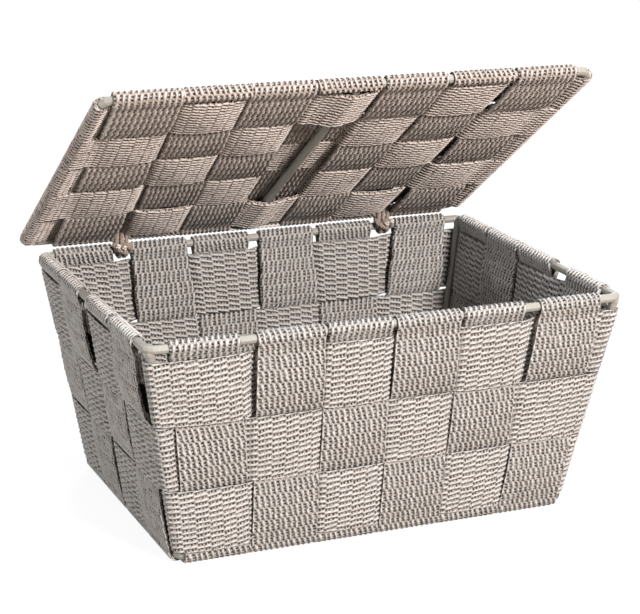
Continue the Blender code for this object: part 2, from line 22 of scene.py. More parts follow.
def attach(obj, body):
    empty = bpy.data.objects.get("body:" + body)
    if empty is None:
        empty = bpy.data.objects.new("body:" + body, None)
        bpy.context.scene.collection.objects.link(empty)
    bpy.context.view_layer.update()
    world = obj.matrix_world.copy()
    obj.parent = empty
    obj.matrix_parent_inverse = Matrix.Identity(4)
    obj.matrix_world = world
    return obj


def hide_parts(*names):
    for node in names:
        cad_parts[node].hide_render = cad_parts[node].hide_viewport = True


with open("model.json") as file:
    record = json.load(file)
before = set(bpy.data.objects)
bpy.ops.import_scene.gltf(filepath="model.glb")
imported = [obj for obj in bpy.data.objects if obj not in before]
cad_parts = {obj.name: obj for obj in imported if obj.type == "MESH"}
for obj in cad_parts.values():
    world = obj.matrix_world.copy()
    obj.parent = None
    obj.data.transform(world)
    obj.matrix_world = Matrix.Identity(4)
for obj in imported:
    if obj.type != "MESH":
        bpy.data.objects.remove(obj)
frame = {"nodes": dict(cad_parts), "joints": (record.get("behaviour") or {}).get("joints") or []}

LOG = logging.getLogger("basket")
MM = 0.001
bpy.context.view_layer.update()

# A colour Mix node has sockets of one name for every type, so its own are known by number.
MIX_SHARE, MIX_FIRST, MIX_SECOND, MIX_RESULT = 0, 6, 7, 2
RGBA = {"data_type": "RGBA"}
SMOOTH = {"interpolation_type": "SMOOTHSTEP"}
PLUS, MINUS, TIMES, OVER, TIMES_PLUS, MOST, COSINE = (
    {"operation": name}
    for name in ("ADD", "SUBTRACT", "MULTIPLY", "DIVIDE", "MULTIPLY_ADD", "MAXIMUM", "COSINE")
)


class Body(Enum):
    """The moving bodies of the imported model."""

    BASKET = "basket"
    LID = "lid"


class Slot(Enum):
    """The finishes that the record names."""

    WEBBING = "webbing"
    WIRE = "frame_wire"
    CORD = "lashing_cord"


def linear(code: str) -> tuple[float, float, float, float]:
    """Turn an sRGB hex value into a linear colour.

    Args:
        code: Six hex digits, such as "c9c2bb".

    Returns:
        Red, green, blue and an alpha of 1.
    """
    channels = [int(code[i:i + 2], 16) / 255 for i in (0, 2, 4)]
    red, green, blue = (
        value / 12.92 if value <= 0.04045 else ((value + 0.055) / 1.055) ** 2.4
        for value in channels
    )
    return red, green, blue, 1.0


def add_node(tree: NodeTree, kind: str, settings: dict, inputs: dict | list) -> Node:
    """Add one node, with its settings, and fill or link its inputs.

    Args:
        tree: The tree that the node joins.
        kind: The node's type name, without its ShaderNode prefix.
        settings: Values of the node's own properties.
        inputs: Socket name or number to a value, a node, or a node and its output. A list fills
            the first sockets.

    Returns:
        The new node.
    """
    node = tree.nodes.new("ShaderNode" + kind)
    for name, value in settings.items():
        setattr(node, name, value)
    for key, value in inputs.items() if isinstance(inputs, dict) else enumerate(inputs):
        socket = node.inputs[key]
        if isinstance(value, Node):
            tree.links.new(value.outputs[0], socket)
        elif isinstance(value, tuple) and isinstance(value[0], Node):
            tree.links.new(value[0].outputs[value[1]], socket)
        else:
            socket.default_value = value
    return node


def new_material(name: str) -> tuple[Material, NodeTree]:
    """Make a material that has a Principled shader and nothing else.

    Args:
        name: The material's name.

    Returns:
        The material and its node tree.
    """
    material = bpy.data.materials.new(name)
    material.use_nodes = True
    return material, material.node_tree


def dress(tree: NodeTree, colour: NodeSocket, bump: Node, levels: dict) -> None:
    """Give a Principled shader its colour and relief, and what is even all over the surface.

    Args:
        tree: The shader's node tree.
        colour: The output that draws the colour.
        bump: The Bump node.
        levels: The value of each socket that is the same all over.
    """
    shader = tree.nodes["Principled BSDF"]
    tree.links.new(colour, shader.inputs["Base Color"])
    tree.links.new(bump.outputs["Normal"], shader.inputs["Normal"])
    for name, value in levels.items():
        shader.inputs[name].default_value = value


@dataclass(frozen=True)
class PolypropyleneWebbing:
    """Flat webbing of bulked polypropylene yarn, woven coarse and dyed taupe in the melt.

    The yarn is matt with a slight sheen. It floats along the strap in rows of dashes that
    slant a little, and between two rows each cell of the weave shows a dot with a pit on both
    its sides. The raised dashes and dots take the paler yarn colour, a painted highlight, and
    the pits take the dark pit colour, painted shade in the hollows. Row and cell are the real
    spacings. The dash, bar and dot are the parts of a wave, from -1 to 1, over which each of
    them fades in, and tip and hollow are ramps: from, to, and the values that these take. What
    ends in _share says how much one pattern counts in a mixture.
    """

    name: str = "woven polypropylene webbing"
    # The paler yarn colour on the raised dashes and dots is a painted highlight.
    yarn: str = "a7a4a1"
    ground: str = "a29b97"
    # The dark pit colour is painted shade in the hollows of the weave.
    pit: str = "2e221a"
    row: float = 24.4 * MM / 12
    cell: float = 2.47 * MM
    stagger: float = 0.1
    tilt: float = -0.3
    step: float = 6.0
    stray: float = 0.1
    wander: float = 0.5
    drift: float = 0.8
    filament: float = 0.3 * MM
    filament_stretch: float = 0.2
    dash: tuple[float, float] = (-0.75, 0.1)
    bar: tuple[float, float] = (-0.3, -0.85)
    bar_share: float = 0.9
    dot: tuple[float, float] = (0.65, 0.98)
    dot_share: float = 0.85
    tip: tuple[float, float, float, float] = (-0.4, -1.0, 0.0, 0.8)
    hollow: tuple[float, float, float, float] = (0.2, 0.75, 0.35, 1.0)
    hollow_lot_share: float = 0.3
    evenness: float = 0.73
    lot_share: float = 0.12
    patch_share: float = 0.2
    fibre_share: float = 0.22
    relief: float = 1.3 * MM
    relief_shares: tuple[float, float, float, float, float] = (0.08, 0.3, 0.06, -0.14, 0.2)
    patch: float = 1 / 60.0
    roughness: float = 0.6
    gloss: float = 0.12
    sheen: float = 0.05
    sheen_roughness: float = 0.4

    def material(self) -> Material:
        """Draw the weave from the strap's own lengths, which its UV map holds in metres.

        Returns:
            The webbing's material.
        """
        material, tree = new_material(self.name)
        put = partial(add_node, tree)
        place = put("UVMap", {"uv_map": "weave"}, [])
        apart = put("SeparateXYZ", {}, [place])
        scale = self.drift / self.cell
        drift = put("TexNoise", {}, {"Vector": place, "Scale": scale, "Detail": 1.0})
        drift = put("SeparateColor", {}, [(drift, "Color")])
        cells = put("Math", OVER, [(apart, "X"), self.cell])
        rows = put("Math", OVER, [(apart, "Y"), self.row])
        rounded = [put("Math", {"operation": "ROUND"}, [count]) for count in (cells, rows)]
        spot = put("CombineXYZ", {}, rounded)
        lot = put("TexWhiteNoise", {"noise_dimensions": "2D"}, {"Vector": spot})
        stray = put("Math", MINUS, [(drift, "Red"), 0.5])
        cells = put("Math", TIMES_PLUS, [stray, self.wander, cells])
        half_turn = put("Math", TIMES, [cells, pi])
        swing = put("Math", TIMES, [put("Math", COSINE, [half_turn]), self.step])
        swing = put("Math", {"operation": "MINIMUM"}, [swing, 1.0])
        swing = put("Math", MOST, [swing, -1.0])
        slant = put("Math", {"operation": "FRACT"}, [put("Math", PLUS, [cells, 0.5])])
        slant = put("Math", MINUS, [slant, 0.5])
        stray = put("Math", MINUS, [(drift, "Green"), 0.5])
        rows = put("Math", TIMES_PLUS, [stray, self.wander, rows])
        rows = put("Math", TIMES_PLUS, [swing, self.stagger, rows])
        rows = put("Math", TIMES_PLUS, [slant, self.tilt, rows])
        rows = put("Math", TIMES_PLUS, [put("Math", MINUS, [lot, 0.5]), self.stray, rows])
        beat, crest = (
            put("Math", COSINE, [put("Math", TIMES, [count, 2 * pi])])
            for count in (cells, rows)
        )
        dash, bar, dot = (
            put("MapRange", SMOOTH, [wave, *span])
            for wave, span in ((crest, self.dash), (beat, self.bar), (beat, self.dot))
        )
        filled = put("Math", MOST, [dash, put("Math", TIMES, [bar, self.bar_share])])
        filled = put("Math", MOST, [filled, put("Math", TIMES, [dot, self.dot_share])])
        # The pit mask paints shade into the colour of the hollows, and also sinks them in the bump.
        uneven = put("Math", TIMES_PLUS, [lot, self.hollow_lot_share, (drift, "Blue")])
        uneven = put("MapRange", SMOOTH, [uneven, *self.hollow])
        pit = put("Math", TIMES, [put("Math", MINUS, [1.0, filled]), uneven])

        # The filaments of the yarn are about 0.05 mm, too fine to show, and are drawn coarser.
        fine = (self.filament_stretch / self.filament, 1 / self.filament, 1.0)
        stretched = put("Mapping", {}, {"Vector": place, "Scale": fine})
        fibres = put(
            "TexNoise", {}, {"Vector": stretched, "Scale": 1.0, "Detail": 2.0, "Roughness": 0.6}
        )
        patches = put("TexNoise", {}, {"Vector": place, "Scale": 1 / self.patch, "Detail": 3.0})
        worn = put("Math", TIMES, [patches, self.patch_share])
        worn = put("Math", TIMES_PLUS, [lot, self.lot_share, worn])
        even = put("Math", TIMES_PLUS, [fibres, self.fibre_share, self.evenness])
        worn = put("Math", PLUS, [worn, even])
        # Painted highlight: the raised dashes and dots take the paler yarn colour, which fades out
        # at the dash tips.
        tip = put("Math", TIMES, [dash, put("MapRange", SMOOTH, [beat, *self.tip])])
        raised_highlight = put("Math", MOST, [put("Math", MINUS, [dash, tip]), dot])
        ground, yarn, shade = (linear(code) for code in (self.ground, self.yarn, self.pit))
        colour = put("Mix", RGBA, {MIX_SHARE: raised_highlight, MIX_FIRST: ground, MIX_SECOND: yarn})
        first = colour, MIX_RESULT
        # Painted shade: the pits take the dark pit colour.
        colour = put("Mix", RGBA, {MIX_SHARE: pit, MIX_FIRST: first, MIX_SECOND: shade})
        first = colour, MIX_RESULT
        shaded = put("VectorMath", {"operation": "SCALE"}, {0: first, "Scale": worn})
        first, *shares = self.relief_shares
        height = put("Math", TIMES, [put("Math", TIMES, [dash, beat]), first])
        for part, share in zip((crest, filled, pit, fibres), shares):
            height = put("Math", TIMES_PLUS, [part, share, height])
        bump = put("Bump", {}, {"Strength": 1.0, "Distance": self.relief, "Height": height})
        dress(tree, shaded.outputs[0], bump, {
            "Roughness": self.roughness, "Specular IOR Level": self.gloss,
            "Sheen Weight": self.sheen, "Sheen Roughness": self.sheen_roughness,
        })
        return material


@dataclass(frozen=True)
class PowderCoatedWire:
    """Mild steel wire under a taupe powder coat: satin, with a faint orange peel."""

    coat: str = "827e77"
    shade: str = "7a766f"
    roughness: float = 0.62
    peel: float = 0.8 * MM
    patch: float = 1 / 90.0

    def material(self) -> Material:
        """Build the coat.

        Returns:
            The wire's material.
        """
        material, tree = new_material("powder-coated steel wire")
        put = partial(add_node, tree)
        place = put("TexCoord", {}, []), "Object"
        fine, broad = (
            put("TexNoise", {}, {"Vector": place, "Scale": 1 / size, "Detail": detail})
            for size, detail in ((self.peel, 2.0), (self.patch, 3.0))
        )
        shade, coat = linear(self.shade), linear(self.coat)
        colour = put("Mix", RGBA, {MIX_SHARE: broad, MIX_FIRST: shade, MIX_SECOND: coat})
        bump = put("Bump", {}, {"Strength": 0.25, "Distance": 0.05 * MM, "Height": fine})
        dress(tree, colour.outputs[MIX_RESULT], bump, {"Roughness": self.roughness})
        return material


@dataclass(frozen=True)
class TwistedCord:
    """Three-ply cord of spun yarn, dyed dark taupe: dull, with soft fibre along each ply."""

    name: str = "twisted cord"
    ply: str = "9c8b81"
    shade: str = "4a3c33"
    fibre: float = 0.25 * MM
    roughness: float = 0.8
    sheen: float = 0.2

    def material(self) -> Material:
        """Build the yarn.

        Returns:
            The cord's material.
        """
        material, tree = new_material(self.name)
        put = partial(add_node, tree)
        place = put("TexCoord", {}, []), "Object"
        scale = 1 / self.fibre
        fibres = put(
            "TexNoise", {}, {"Vector": place, "Scale": scale, "Detail": 3.0, "Roughness": 0.7}
        )
        shade, ply = linear(self.shade), linear(self.ply)
        colour = put("Mix", RGBA, {MIX_SHARE: fibres, MIX_FIRST: shade, MIX_SECOND: ply})
        bump = put("Bump", {}, {"Strength": 0.6, "Distance": 0.1 * MM, "Height": fibres})
        levels = {"Roughness": self.roughness, "Sheen Weight": self.sheen}
        dress(tree, colour.outputs[MIX_RESULT], bump, levels)
        return material


@dataclass(frozen=True)
class Flat:
    """A stretch across one crossing, which stands proud as a crown of the given height."""

    start: Vector
    end: Vector
    crown: float = 0.0
    steps: int = 13

    def reverse(self) -> "Flat":
        """The same stretch for a route that runs the other way."""
        return Flat(self.end, self.start, self.crown, self.steps)


def knot(place: Vector) -> Flat:
    """A single point that a route passes through."""
    return Flat(place, place, steps=1)


@dataclass(frozen=True)
class Bend:
    """A circle that a route passes round, turning left (+1) or right (-1)."""

    centre: Vector
    radius: float
    turn: int
    steps: int = 14

    def reverse(self) -> "Bend":
        """The same circle for a route that runs the other way."""
        return Bend(self.centre, self.radius, -self.turn, self.steps)

    def arc(self, start: Vector, finish: Vector) -> list[Vector]:
        """Find where a route from start to finish lies against the circle.

        Args:
            start: The point before the circle.
            finish: The point after it.

        Returns:
            Points along the arc.
        """
        to_start = start - self.centre
        to_finish = finish - self.centre
        lead = acos(min(1.0, self.radius / to_start.length))
        trail = acos(min(1.0, self.radius / to_finish.length))
        first = atan2(to_start.y, to_start.x) + self.turn * lead
        last = atan2(to_finish.y, to_finish.x) - self.turn * trail
        sweep = (self.turn * (last - first)) % (2 * pi)
        angles = [first + self.turn * sweep * i / self.steps for i in range(self.steps + 1)]
        return [self.centre + self.radius * Vector((cos(a), sin(a))) for a in angles]


Stop = Flat | Bend
Route = tuple[list[Vector], list[float]]
Shape = tuple[ndarray, ndarray]


def trace(stops: Sequence[Stop], closed: bool = False) -> Route:
    """Follow a route through its stops.

    Args:
        stops: The points, stretches and circles of the route, in order.
        closed: Whether the route runs back to its first stop.

    Returns:
        The points of the route and the height of the crown at each.
    """
    points: list[Vector] = []
    crowns: list[float] = []
    for i, stop in enumerate(stops):
        if isinstance(stop, Bend):
            following = stops[(i + 1) % len(stops)] if closed else stops[i + 1]
            arc = stop.arc(stops[i - 1].end, following.start)
            points.extend(arc)
            crowns.extend([0.0] * len(arc))
        else:
            for t in np.linspace(-1.0, 1.0, stop.steps).tolist():
                points.append(stop.start.lerp(stop.end, (t + 1) / 2))
                crowns.append(stop.crown * (1 - t ** 2))
    return points, crowns


def chord_lengths(points: ndarray, closed: bool) -> ndarray:
    """The distance along a line to each point, and to the first again if it is closed."""
    run = np.vstack([points, points[:1]]) if closed else points
    return np.concatenate([[0.0], np.cumsum(np.linalg.norm(np.diff(run, axis=0), axis=1))])


def respace(table: ndarray, lengths: ndarray, count: int, closed: bool) -> ndarray:
    """Read a table of values again at even distances.

    Args:
        table: One row for each point of a line.
        lengths: The distance along the line to each point.
        count: How many even steps the line is cut into.
        closed: Whether the line runs back to its first point.

    Returns:
        One row for each even distance, without the first again if the line is closed.
    """
    rows = np.vstack([table, table[:1]]) if closed else table
    places = np.linspace(0.0, lengths[-1], count + 1)
    if closed:
        places = places[:-1]
    return np.column_stack([np.interp(places, lengths, column) for column in rows.T])


def soften(table: ndarray, reach: float, closed: bool) -> ndarray:
    """Round off a table of values with a bell-shaped average that leaves open ends in place.

    Args:
        table: One row for each even step along a line.
        reach: The width of the bell, in steps.
        closed: Whether the line runs back to its first point.

    Returns:
        The table, softened.
    """
    half = int(3 * reach) + 1
    bell = np.exp(-0.5 * (np.arange(-half, half + 1) / reach) ** 2)
    bell /= bell.sum()
    if closed:
        padded = np.pad(table, ((half, half), (0, 0)), mode="wrap")
    else:
        padded = np.pad(table, ((half, half), (0, 0)), mode="reflect", reflect_type="odd")
    return np.column_stack([np.convolve(column, bell, mode="valid") for column in padded.T])


def unit(vectors: ndarray) -> ndarray:
    """Scale each row to a length of 1."""
    return vectors / np.linalg.norm(vectors, axis=1, keepdims=True)


def slopes(points: ndarray, closed: bool) -> ndarray:
    """The direction of a line, which may be closed, at each of its points."""
    around = np.roll(points, -1, axis=0) - np.roll(points, 1, axis=0)
    return unit(around if closed else np.gradient(points, axis=0))


def frames(line: ndarray, guide: Sequence[float]) -> Shape:
    """Carry two directions along a line without twisting them.

    Args:
        line: One row for each point.
        guide: A direction that the first one starts near.

    Returns:
        Two unit rows for each point, square to the line and to each other.
    """
    along = slopes(line, False)
    across = np.zeros_like(line)
    guide = np.array(guide)
    for i, direction in enumerate(along):
        guide = guide - direction * guide.dot(direction)
        guide = guide / np.linalg.norm(guide)
        across[i] = guide
    return across, np.cross(along, across)


def grid_faces(rows: int, ring: int, closed: bool) -> ndarray:
    """Number the four-sided faces between rings of vertices.

    Args:
        rows: How many rings there are.
        ring: How many vertices each has.
        closed: Whether the last ring joins the first.

    Returns:
        Four vertex numbers for each place between two rings, ring by ring.
    """
    i = np.arange(rows if closed else rows - 1)[:, None]
    k = np.arange(ring)[None, :]
    near, far, beside = i * ring, (i + 1) % rows * ring, (k + 1) % ring
    return np.stack([near + k, near + beside, far + beside, far + k], axis=-1)


def make_mesh(name: str, points: ndarray, faces: ndarray, places: ndarray | None = None) -> Mesh:
    """Make a smooth mesh of four-sided faces that face outward.

    Args:
        name: The mesh's name.
        points: One row for each vertex.
        faces: Four vertex numbers for each face.
        places: A UV place for each corner of each face, in metres.

    Returns:
        The mesh.
    """
    a, b, c, d = (points[faces[:, k]] for k in range(4))
    volume = np.einsum("ij,ij->i", a, np.cross(b, c) + np.cross(c, d)).sum()
    if volume < 0:
        faces = faces[:, ::-1]
        places = None if places is None else places[:, ::-1]
    mesh = bpy.data.meshes.new(name)
    mesh.vertices.add(len(points))
    mesh.vertices.foreach_set("co", points.astype(np.float32).ravel())
    mesh.loops.add(faces.size)
    mesh.loops.foreach_set("vertex_index", faces.astype(np.int32).ravel())
    mesh.polygons.add(len(faces))
    mesh.polygons.foreach_set("loop_start", np.arange(0, faces.size, 4, dtype=np.int32))
    mesh.polygons.foreach_set("use_smooth", np.ones(len(faces), dtype=bool))
    if places is not None:
        layer = mesh.uv_layers.new(name="weave")
        layer.data.foreach_set("uv", places.astype(np.float32).ravel())
    mesh.update(calc_edges=True)
    return mesh


def place_piece(
    name: str,
    mesh: Mesh,
    material: Material,
    body: Body,
    nodes: Sequence[str] = (),
) -> None:
    """Put a piece in the scene, on the body that carries it.

    Args:
        name: The piece's name.
        mesh: Its mesh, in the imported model's frame.
        material: Its finish.
        body: The body that it moves with.
        nodes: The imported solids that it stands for.
    """
    piece = bpy.data.objects.new(name, mesh)
    bpy.context.scene.collection.objects.link(piece)
    mesh.materials.append(material)
    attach(piece, body.value)
    if nodes:
        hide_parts(*nodes)
    LOG.info("%s: %d faces, on %s", name, len(mesh.polygons), body.value)


@dataclass(frozen=True)
class Weave:
    """The section of a length of webbing, with the relief of its yarns on both faces."""

    finish: PolypropyleneWebbing = field(default_factory=PolypropyleneWebbing)
    rows: int = 12
    samples: int = 4
    thickness: float = 1.0 * MM
    relief: float = 0.28 * MM
    edge: float = 0.6 * MM
    soft: float = 1.0 * MM
    fine: float = 0.25 * MM
    slack: float = 12.0
    stray: float = 0.05
    stray_reach: float = 2.5
    pit: float = 0.6
    pillow: float = 0.45
    rounding: float = 0.85

    def height(self, cells: ndarray, rows: ndarray) -> ndarray:
        """Work out how far the yarns stand proud.

        Args:
            cells: Places along the strap, counted in cells.
            rows: Places across it, counted in rows.

        Returns:
            Heights in metres, above and below the middle of the face.
        """
        swing = np.clip(self.finish.step * np.cos(pi * cells), -1.0, 1.0)
        slant = (cells + 0.5) % 1.0 - 0.5
        crest = np.cos(2 * pi * (rows + self.finish.stagger * swing + self.finish.tilt * slant))
        pit = np.maximum(0.0, -crest) * (0.5 - 0.5 * np.cos(4 * pi * cells))
        return self.relief * (crest - self.pit * pit)

    def ribbon(
        self,
        name: str,
        low: ndarray,
        high: ndarray,
        crowns: Sequence[float],
        spreads: Sequence[float],
        closed: bool,
    ) -> Mesh:
        """Weave a length of webbing between two long edges.

        Args:
            name: The mesh's name.
            low: The points of one edge of the solid strap.
            high: The points of its other edge. The outer face is on the left of low to high.
            crowns: The height of the crown at each point.
            spreads: How much wider than the solid strap the webbing is at each point.
            closed: Whether the strap is a closed band.

        Returns:
            The strap's mesh.
        """
        table = np.column_stack([low, high, crowns, spreads])
        lengths = chord_lengths((table[:, 0:3] + table[:, 3:6]) / 2, closed)
        table = respace(table, lengths, int(lengths[-1] / self.fine), closed)
        table = soften(table, self.soft / self.fine, closed)
        lengths = chord_lengths((table[:, 0:3] + table[:, 3:6]) / 2, closed)
        cells = 2 * round(lengths[-1] / self.finish.cell / 2)
        table = respace(table, lengths, cells * self.samples, closed)
        low, high, crown, spread = table[:, 0:3], table[:, 3:6], table[:, 6], table[:, 7]
        middle, half = (low + high) / 2, (high - low) / 2
        # Webbing spreads where it arches over a crossing, and its selvedge wanders a little.
        draw = np.random.default_rng(len(name) + int(1e6 * lengths[-1]) % 997)
        loose = draw.normal(0.0, 1.0, (len(middle), 1))
        loose = soften(loose, self.stray_reach * self.samples, closed)[:, 0]
        spread = spread * (1 + self.slack * np.abs(crown) + self.stray * loose)
        along = slopes(middle, closed)
        out = unit(np.cross(along, half))

        count = self.rows * self.samples
        across = np.linspace(-1.0, 1.0, count + 1)
        width = 2 * float(np.mean(np.linalg.norm(half, axis=1) * spread))
        inset = (1 - np.abs(across)) * width / 2
        rounding = np.clip(1 - inset / self.edge, 0.0, self.rounding)
        body = self.thickness / 2 * np.sqrt(1 - rounding ** 2)
        pillow = 1 - self.pillow * across ** 2

        u = np.arange(len(middle)) / self.samples
        v = np.arange(count + 1) / self.samples
        base = middle[:, None] + half[:, None] * across[None, :, None] * spread[:, None, None]
        base = base + out[:, None] * (crown[:, None] * pillow)[..., None]
        over = body + self.height(u[:, None], v[None, :])
        under = body + self.height(u[:, None] + 0.5, v[None, :] + 0.5)
        top = base + out[:, None] * over[..., None]
        bottom = base - out[:, None] * under[..., None]
        rings = np.concatenate([top, bottom[:, ::-1]], axis=1)
        ring = rings.shape[1]
        faces = grid_faces(len(rings), ring, closed)

        # The back's weave is half a cell and half a row on from the front's.
        cell, row = self.finish.cell, self.finish.row
        ring_v = np.concatenate([v, v[::-1] + 0.5]) * row
        ring_u = np.concatenate([np.zeros(count + 1), np.full(count + 1, 0.5)]) * cell
        near = u[:len(faces), None] * cell
        far = near + cell / self.samples
        corners = ((near, 0), (near, -1), (far, -1), (far, 0))
        places = np.stack(
            [
                np.stack([start + np.roll(ring_u, k), 0 * start + np.roll(ring_v, k)], axis=-1)
                for start, k in corners
            ],
            axis=2,
        ).reshape(-1, 4, 2)
        faces = faces.reshape(-1, 4)
        if not closed:
            j = np.arange(count)
            end = np.stack([j, j + 1, ring - 2 - j, ring - 1 - j], axis=-1)
            faces = np.vstack([faces, end[:, ::-1], end + (len(rings) - 1) * ring])
            places = np.vstack([places, np.zeros((2 * count, 4, 2))])
        return make_mesh(name, rings.reshape(-1, 3), faces, places)


@dataclass(frozen=True)
class Plan:
    """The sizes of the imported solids, which every piece of the scene keeps to."""

    strap: float = 23.0 * MM
    layer: float = 1.3 * MM
    rod: float = 1.6 * MM
    tuck: float = 10.0 * MM
    knee_lead: float = 0.2 * MM
    knee_share: float = 0.25
    floor_gap: float = 1.5 * MM
    row_gap: float = 2.0 * MM
    rim_gap: float = 2.0 * MM
    corner_gap: float = 4.6 * MM
    floor_edge: float = 2.5 * MM
    base_z: float = 2.9 * MM
    base_band: float = 2.9 * MM
    fold_band: float = 3.5 * MM
    standoff: float = 1.75 * MM
    corner_radius: float = 3.5 * MM
    side_lean: float = radians(10.4)
    end_lean: float = radians(8.35)
    wrap: float = 2.3 * MM
    long_count: int = 6
    cross_count: int = 4
    hoop_count: int = 3
    cord_pitch: float = 1.95 * MM
    tie_slot: float = 7.515 * MM
    ties_after: tuple[int, int] = (1, 5)
    front_shares: tuple[float, ...] = (0.147, 0.273, 0.030, 0.043, 0.039, 0.247, 0.221)
    back_shares: tuple[float, ...] = (0.0, 0.0, 0.083, 0.248, 0.083, 0.300, 0.286)
    left_shares: tuple[float, ...] = (0.36, 0.08, 0.56, 0.0, 0.0)
    right_shares: tuple[float, ...] = (0.31, 0.66, 0.03, 0.0, 0.0)
    lid_rows: int = 5
    lid_columns: int = 7
    lid_side: float = 1.5 * MM
    lid_end: float = 0.5 * MM
    lid_edge_gap: float = 4.0 * MM
    lid_gap: float = 1.8 * MM
    lid_shares: tuple[float, ...] = (0.0, 0.0, 0.01, 0.04, 0.18, 0.23, 0.17, 0.37)
    lid_shift: float = -5.0 * MM
    stiffener_column: int = 4
    stiffener_level: float = -1.0 * MM
    stiffener_gap: float = 0.8 * MM
    stiffener_approach: float = 9.0 * MM

    @property
    def row_rise(self) -> float:
        """The height of a hoop's strap on the leaning walls."""
        return self.strap * cos((self.side_lean + self.end_lean) / 2)

    @property
    def hoops_z(self) -> float:
        """The lower edge of the lowest hoop."""
        return self.base_z + self.base_band

    @property
    def rim_z(self) -> float:
        """The height of the rim rod's middle."""
        hoops = self.hoop_count * self.row_rise + (self.hoop_count - 1) * self.row_gap
        return self.hoops_z + hoops + self.fold_band + self.rod

    @property
    def pitch(self) -> float:
        """The spacing of the straps in the floor."""
        return self.strap + self.floor_gap

    @property
    def base_half(self) -> Vector:
        """Half the length and half the depth of the base rod."""
        return Vector([
            (count * self.pitch - self.floor_gap) / 2 + self.floor_edge
            for count in (self.long_count, self.cross_count)
        ])

    @property
    def rim_half(self) -> Vector:
        """Half the length and half the depth of the rim rod."""
        rise = self.rim_z - self.base_z
        return self.base_half + Vector((rise * tan(self.side_lean), rise * tan(self.end_lean)))

    @property
    def lid_half(self) -> float:
        """Half the length of the lid's rod."""
        return self.rim_half.x + self.lid_side

    @property
    def lid_depth(self) -> float:
        """The depth of the lid's rod."""
        return 2 * (self.rim_half.y + self.lid_end)

    @property
    def lid_strap(self) -> float:
        """The width of a strap in the lid."""
        room = self.lid_depth - 2 * self.lid_edge_gap - (self.lid_rows - 1) * self.lid_gap
        return room / self.lid_rows

    @property
    def shift(self) -> Vector:
        """Where the basket's own middle lies, with the whole footprint centred."""
        return Vector((-(self.lid_shift - self.lid_side) / 2, -self.lid_end / 2, 0.0))

    def hoop_heights(self, row: int) -> tuple[float, float]:
        """The heights of a hoop's lower and upper edge, row 0 being the top hoop."""
        low = self.hoops_z + (self.hoop_count - 1 - row) * (self.row_rise + self.row_gap)
        return low, low + self.row_rise

    def up(self, z: float) -> float:
        """The share of the way from the base rod to the rim rod."""
        return min(1.0, max(0.0, (z - self.base_z) / (self.rim_z - self.base_z)))

    def wall(self, axis: int, z: float) -> float:
        """How far out a wall's middle is: axis 0 for the sides, 1 for the front and back."""
        spread = self.rim_half[axis] - self.base_half[axis] - self.standoff
        return self.rim_half[axis] + (self.up(z) - 1) * spread

    def level(self, row: int) -> float:
        """How far straps lie from the wall's middle where they cross a hoop."""
        return self.layer if row == 0 else self.layer / 2

    def flats(
        self,
        cells: Sequence[tuple[float, float, float, float]],
        along: Vector = Vector((1, 0)),
        out: Vector = Vector((0, 1)),
    ) -> list[Stop]:
        """Lead a strap over a row of crossings, with a knee between each two.

        Args:
            cells: Start, end, level and crown of each crossing.
            along: The direction of the row.
            out: The direction of its levels.

        Returns:
            The stops.
        """
        stops: list[Stop] = []
        for i, (start, end, level, crown) in enumerate(cells):
            before = after = self.knee_lead
            if i > 0:
                before = self.knee_share * (start - cells[i - 1][1])
            if i < len(cells) - 1:
                after = self.knee_share * (cells[i + 1][0] - end)
            rise = out * level
            stops.append(Flat(along * (start - before) + rise, along * (end + after) + rise, crown))
        return stops

    def middles(
        self, half: float, width: float, gaps: Sequence[float], shares: Sequence[float]
    ) -> list[float]:
        """Lay straps side by side along a rod.

        Args:
            half: Half the rod's length.
            width: The width of a strap.
            gaps: The least gap before, between and after the straps.
            shares: The share of the room left over that each gap takes.

        Returns:
            The middle of each strap.
        """
        room = 2 * half - width * (len(gaps) - 1) - sum(gaps)
        edge = -half
        found = []
        for gap, share in zip(gaps[:-1], shares):
            edge += gap + share * room
            found.append(edge + width / 2)
            edge += width
        return found

    def floor(self, count: int) -> list[float]:
        """The middles of the straps that lie side by side in the floor."""
        return [(i - (count - 1) / 2) * self.pitch for i in range(count)]

    def beside(self, axis: int, shares: Sequence[float], tied: Sequence[int] = ()) -> list[float]:
        """Lay the straps side by side at one side of the rim.

        Args:
            axis: 0 for the front or back, 1 for a side.
            shares: The share of the room left over that each gap takes.
            tied: The straps that a lashing follows.

        Returns:
            The middle of each strap.
        """
        count = (self.long_count, self.cross_count)[axis]
        gaps = [self.tie_slot if i in tied else self.rim_gap for i in range(1, count)]
        gaps = [self.corner_gap, *gaps, self.corner_gap]
        return self.middles(self.rim_half[axis], self.strap, gaps, shares)

    @property
    def long_front(self) -> list[float]:
        """The middles of the long straps at the front rim."""
        return self.beside(0, self.front_shares)

    @property
    def long_back(self) -> list[float]:
        """The middles of the long straps at the back rim, with the lashings between them."""
        return self.beside(0, self.back_shares, self.ties_after)

    @property
    def cross_sides(self) -> list[list[float]]:
        """The middles of the cross straps at the left and at the right rim."""
        return [self.beside(1, shares) for shares in (self.left_shares, self.right_shares)]

    @property
    def ties(self) -> list[float]:
        """Where the lashings stand along the back rim."""
        back = self.long_back
        return [(back[i - 1] + back[i]) / 2 for i in self.ties_after]

    def post(self, z: float) -> Vector:
        """Half length and half depth at which a corner post's middle stands."""
        inset = self.corner_radius * (1 - sqrt(0.5))
        return self.base_half.lerp(self.rim_half, self.up(z)) - Vector((inset, inset))


def between(low: float, high: float, share: float) -> float:
    """The value a share of the way from low to high."""
    return low + (high - low) * share


class Crowns:
    """How far the webbing stands proud of each crossing, a little uneven as by hand."""

    def __init__(self, least: float, most: float, seed: int) -> None:
        """Set the range and the seed."""
        self.range = least, most
        self.draw = np.random.default_rng(seed)

    def next(self, sign: int, share: float = 1.0) -> float:
        """Draw a crown: sign is +1 outside and -1 inside, share how much of it is used."""
        return sign * share * float(self.draw.uniform(*self.range))


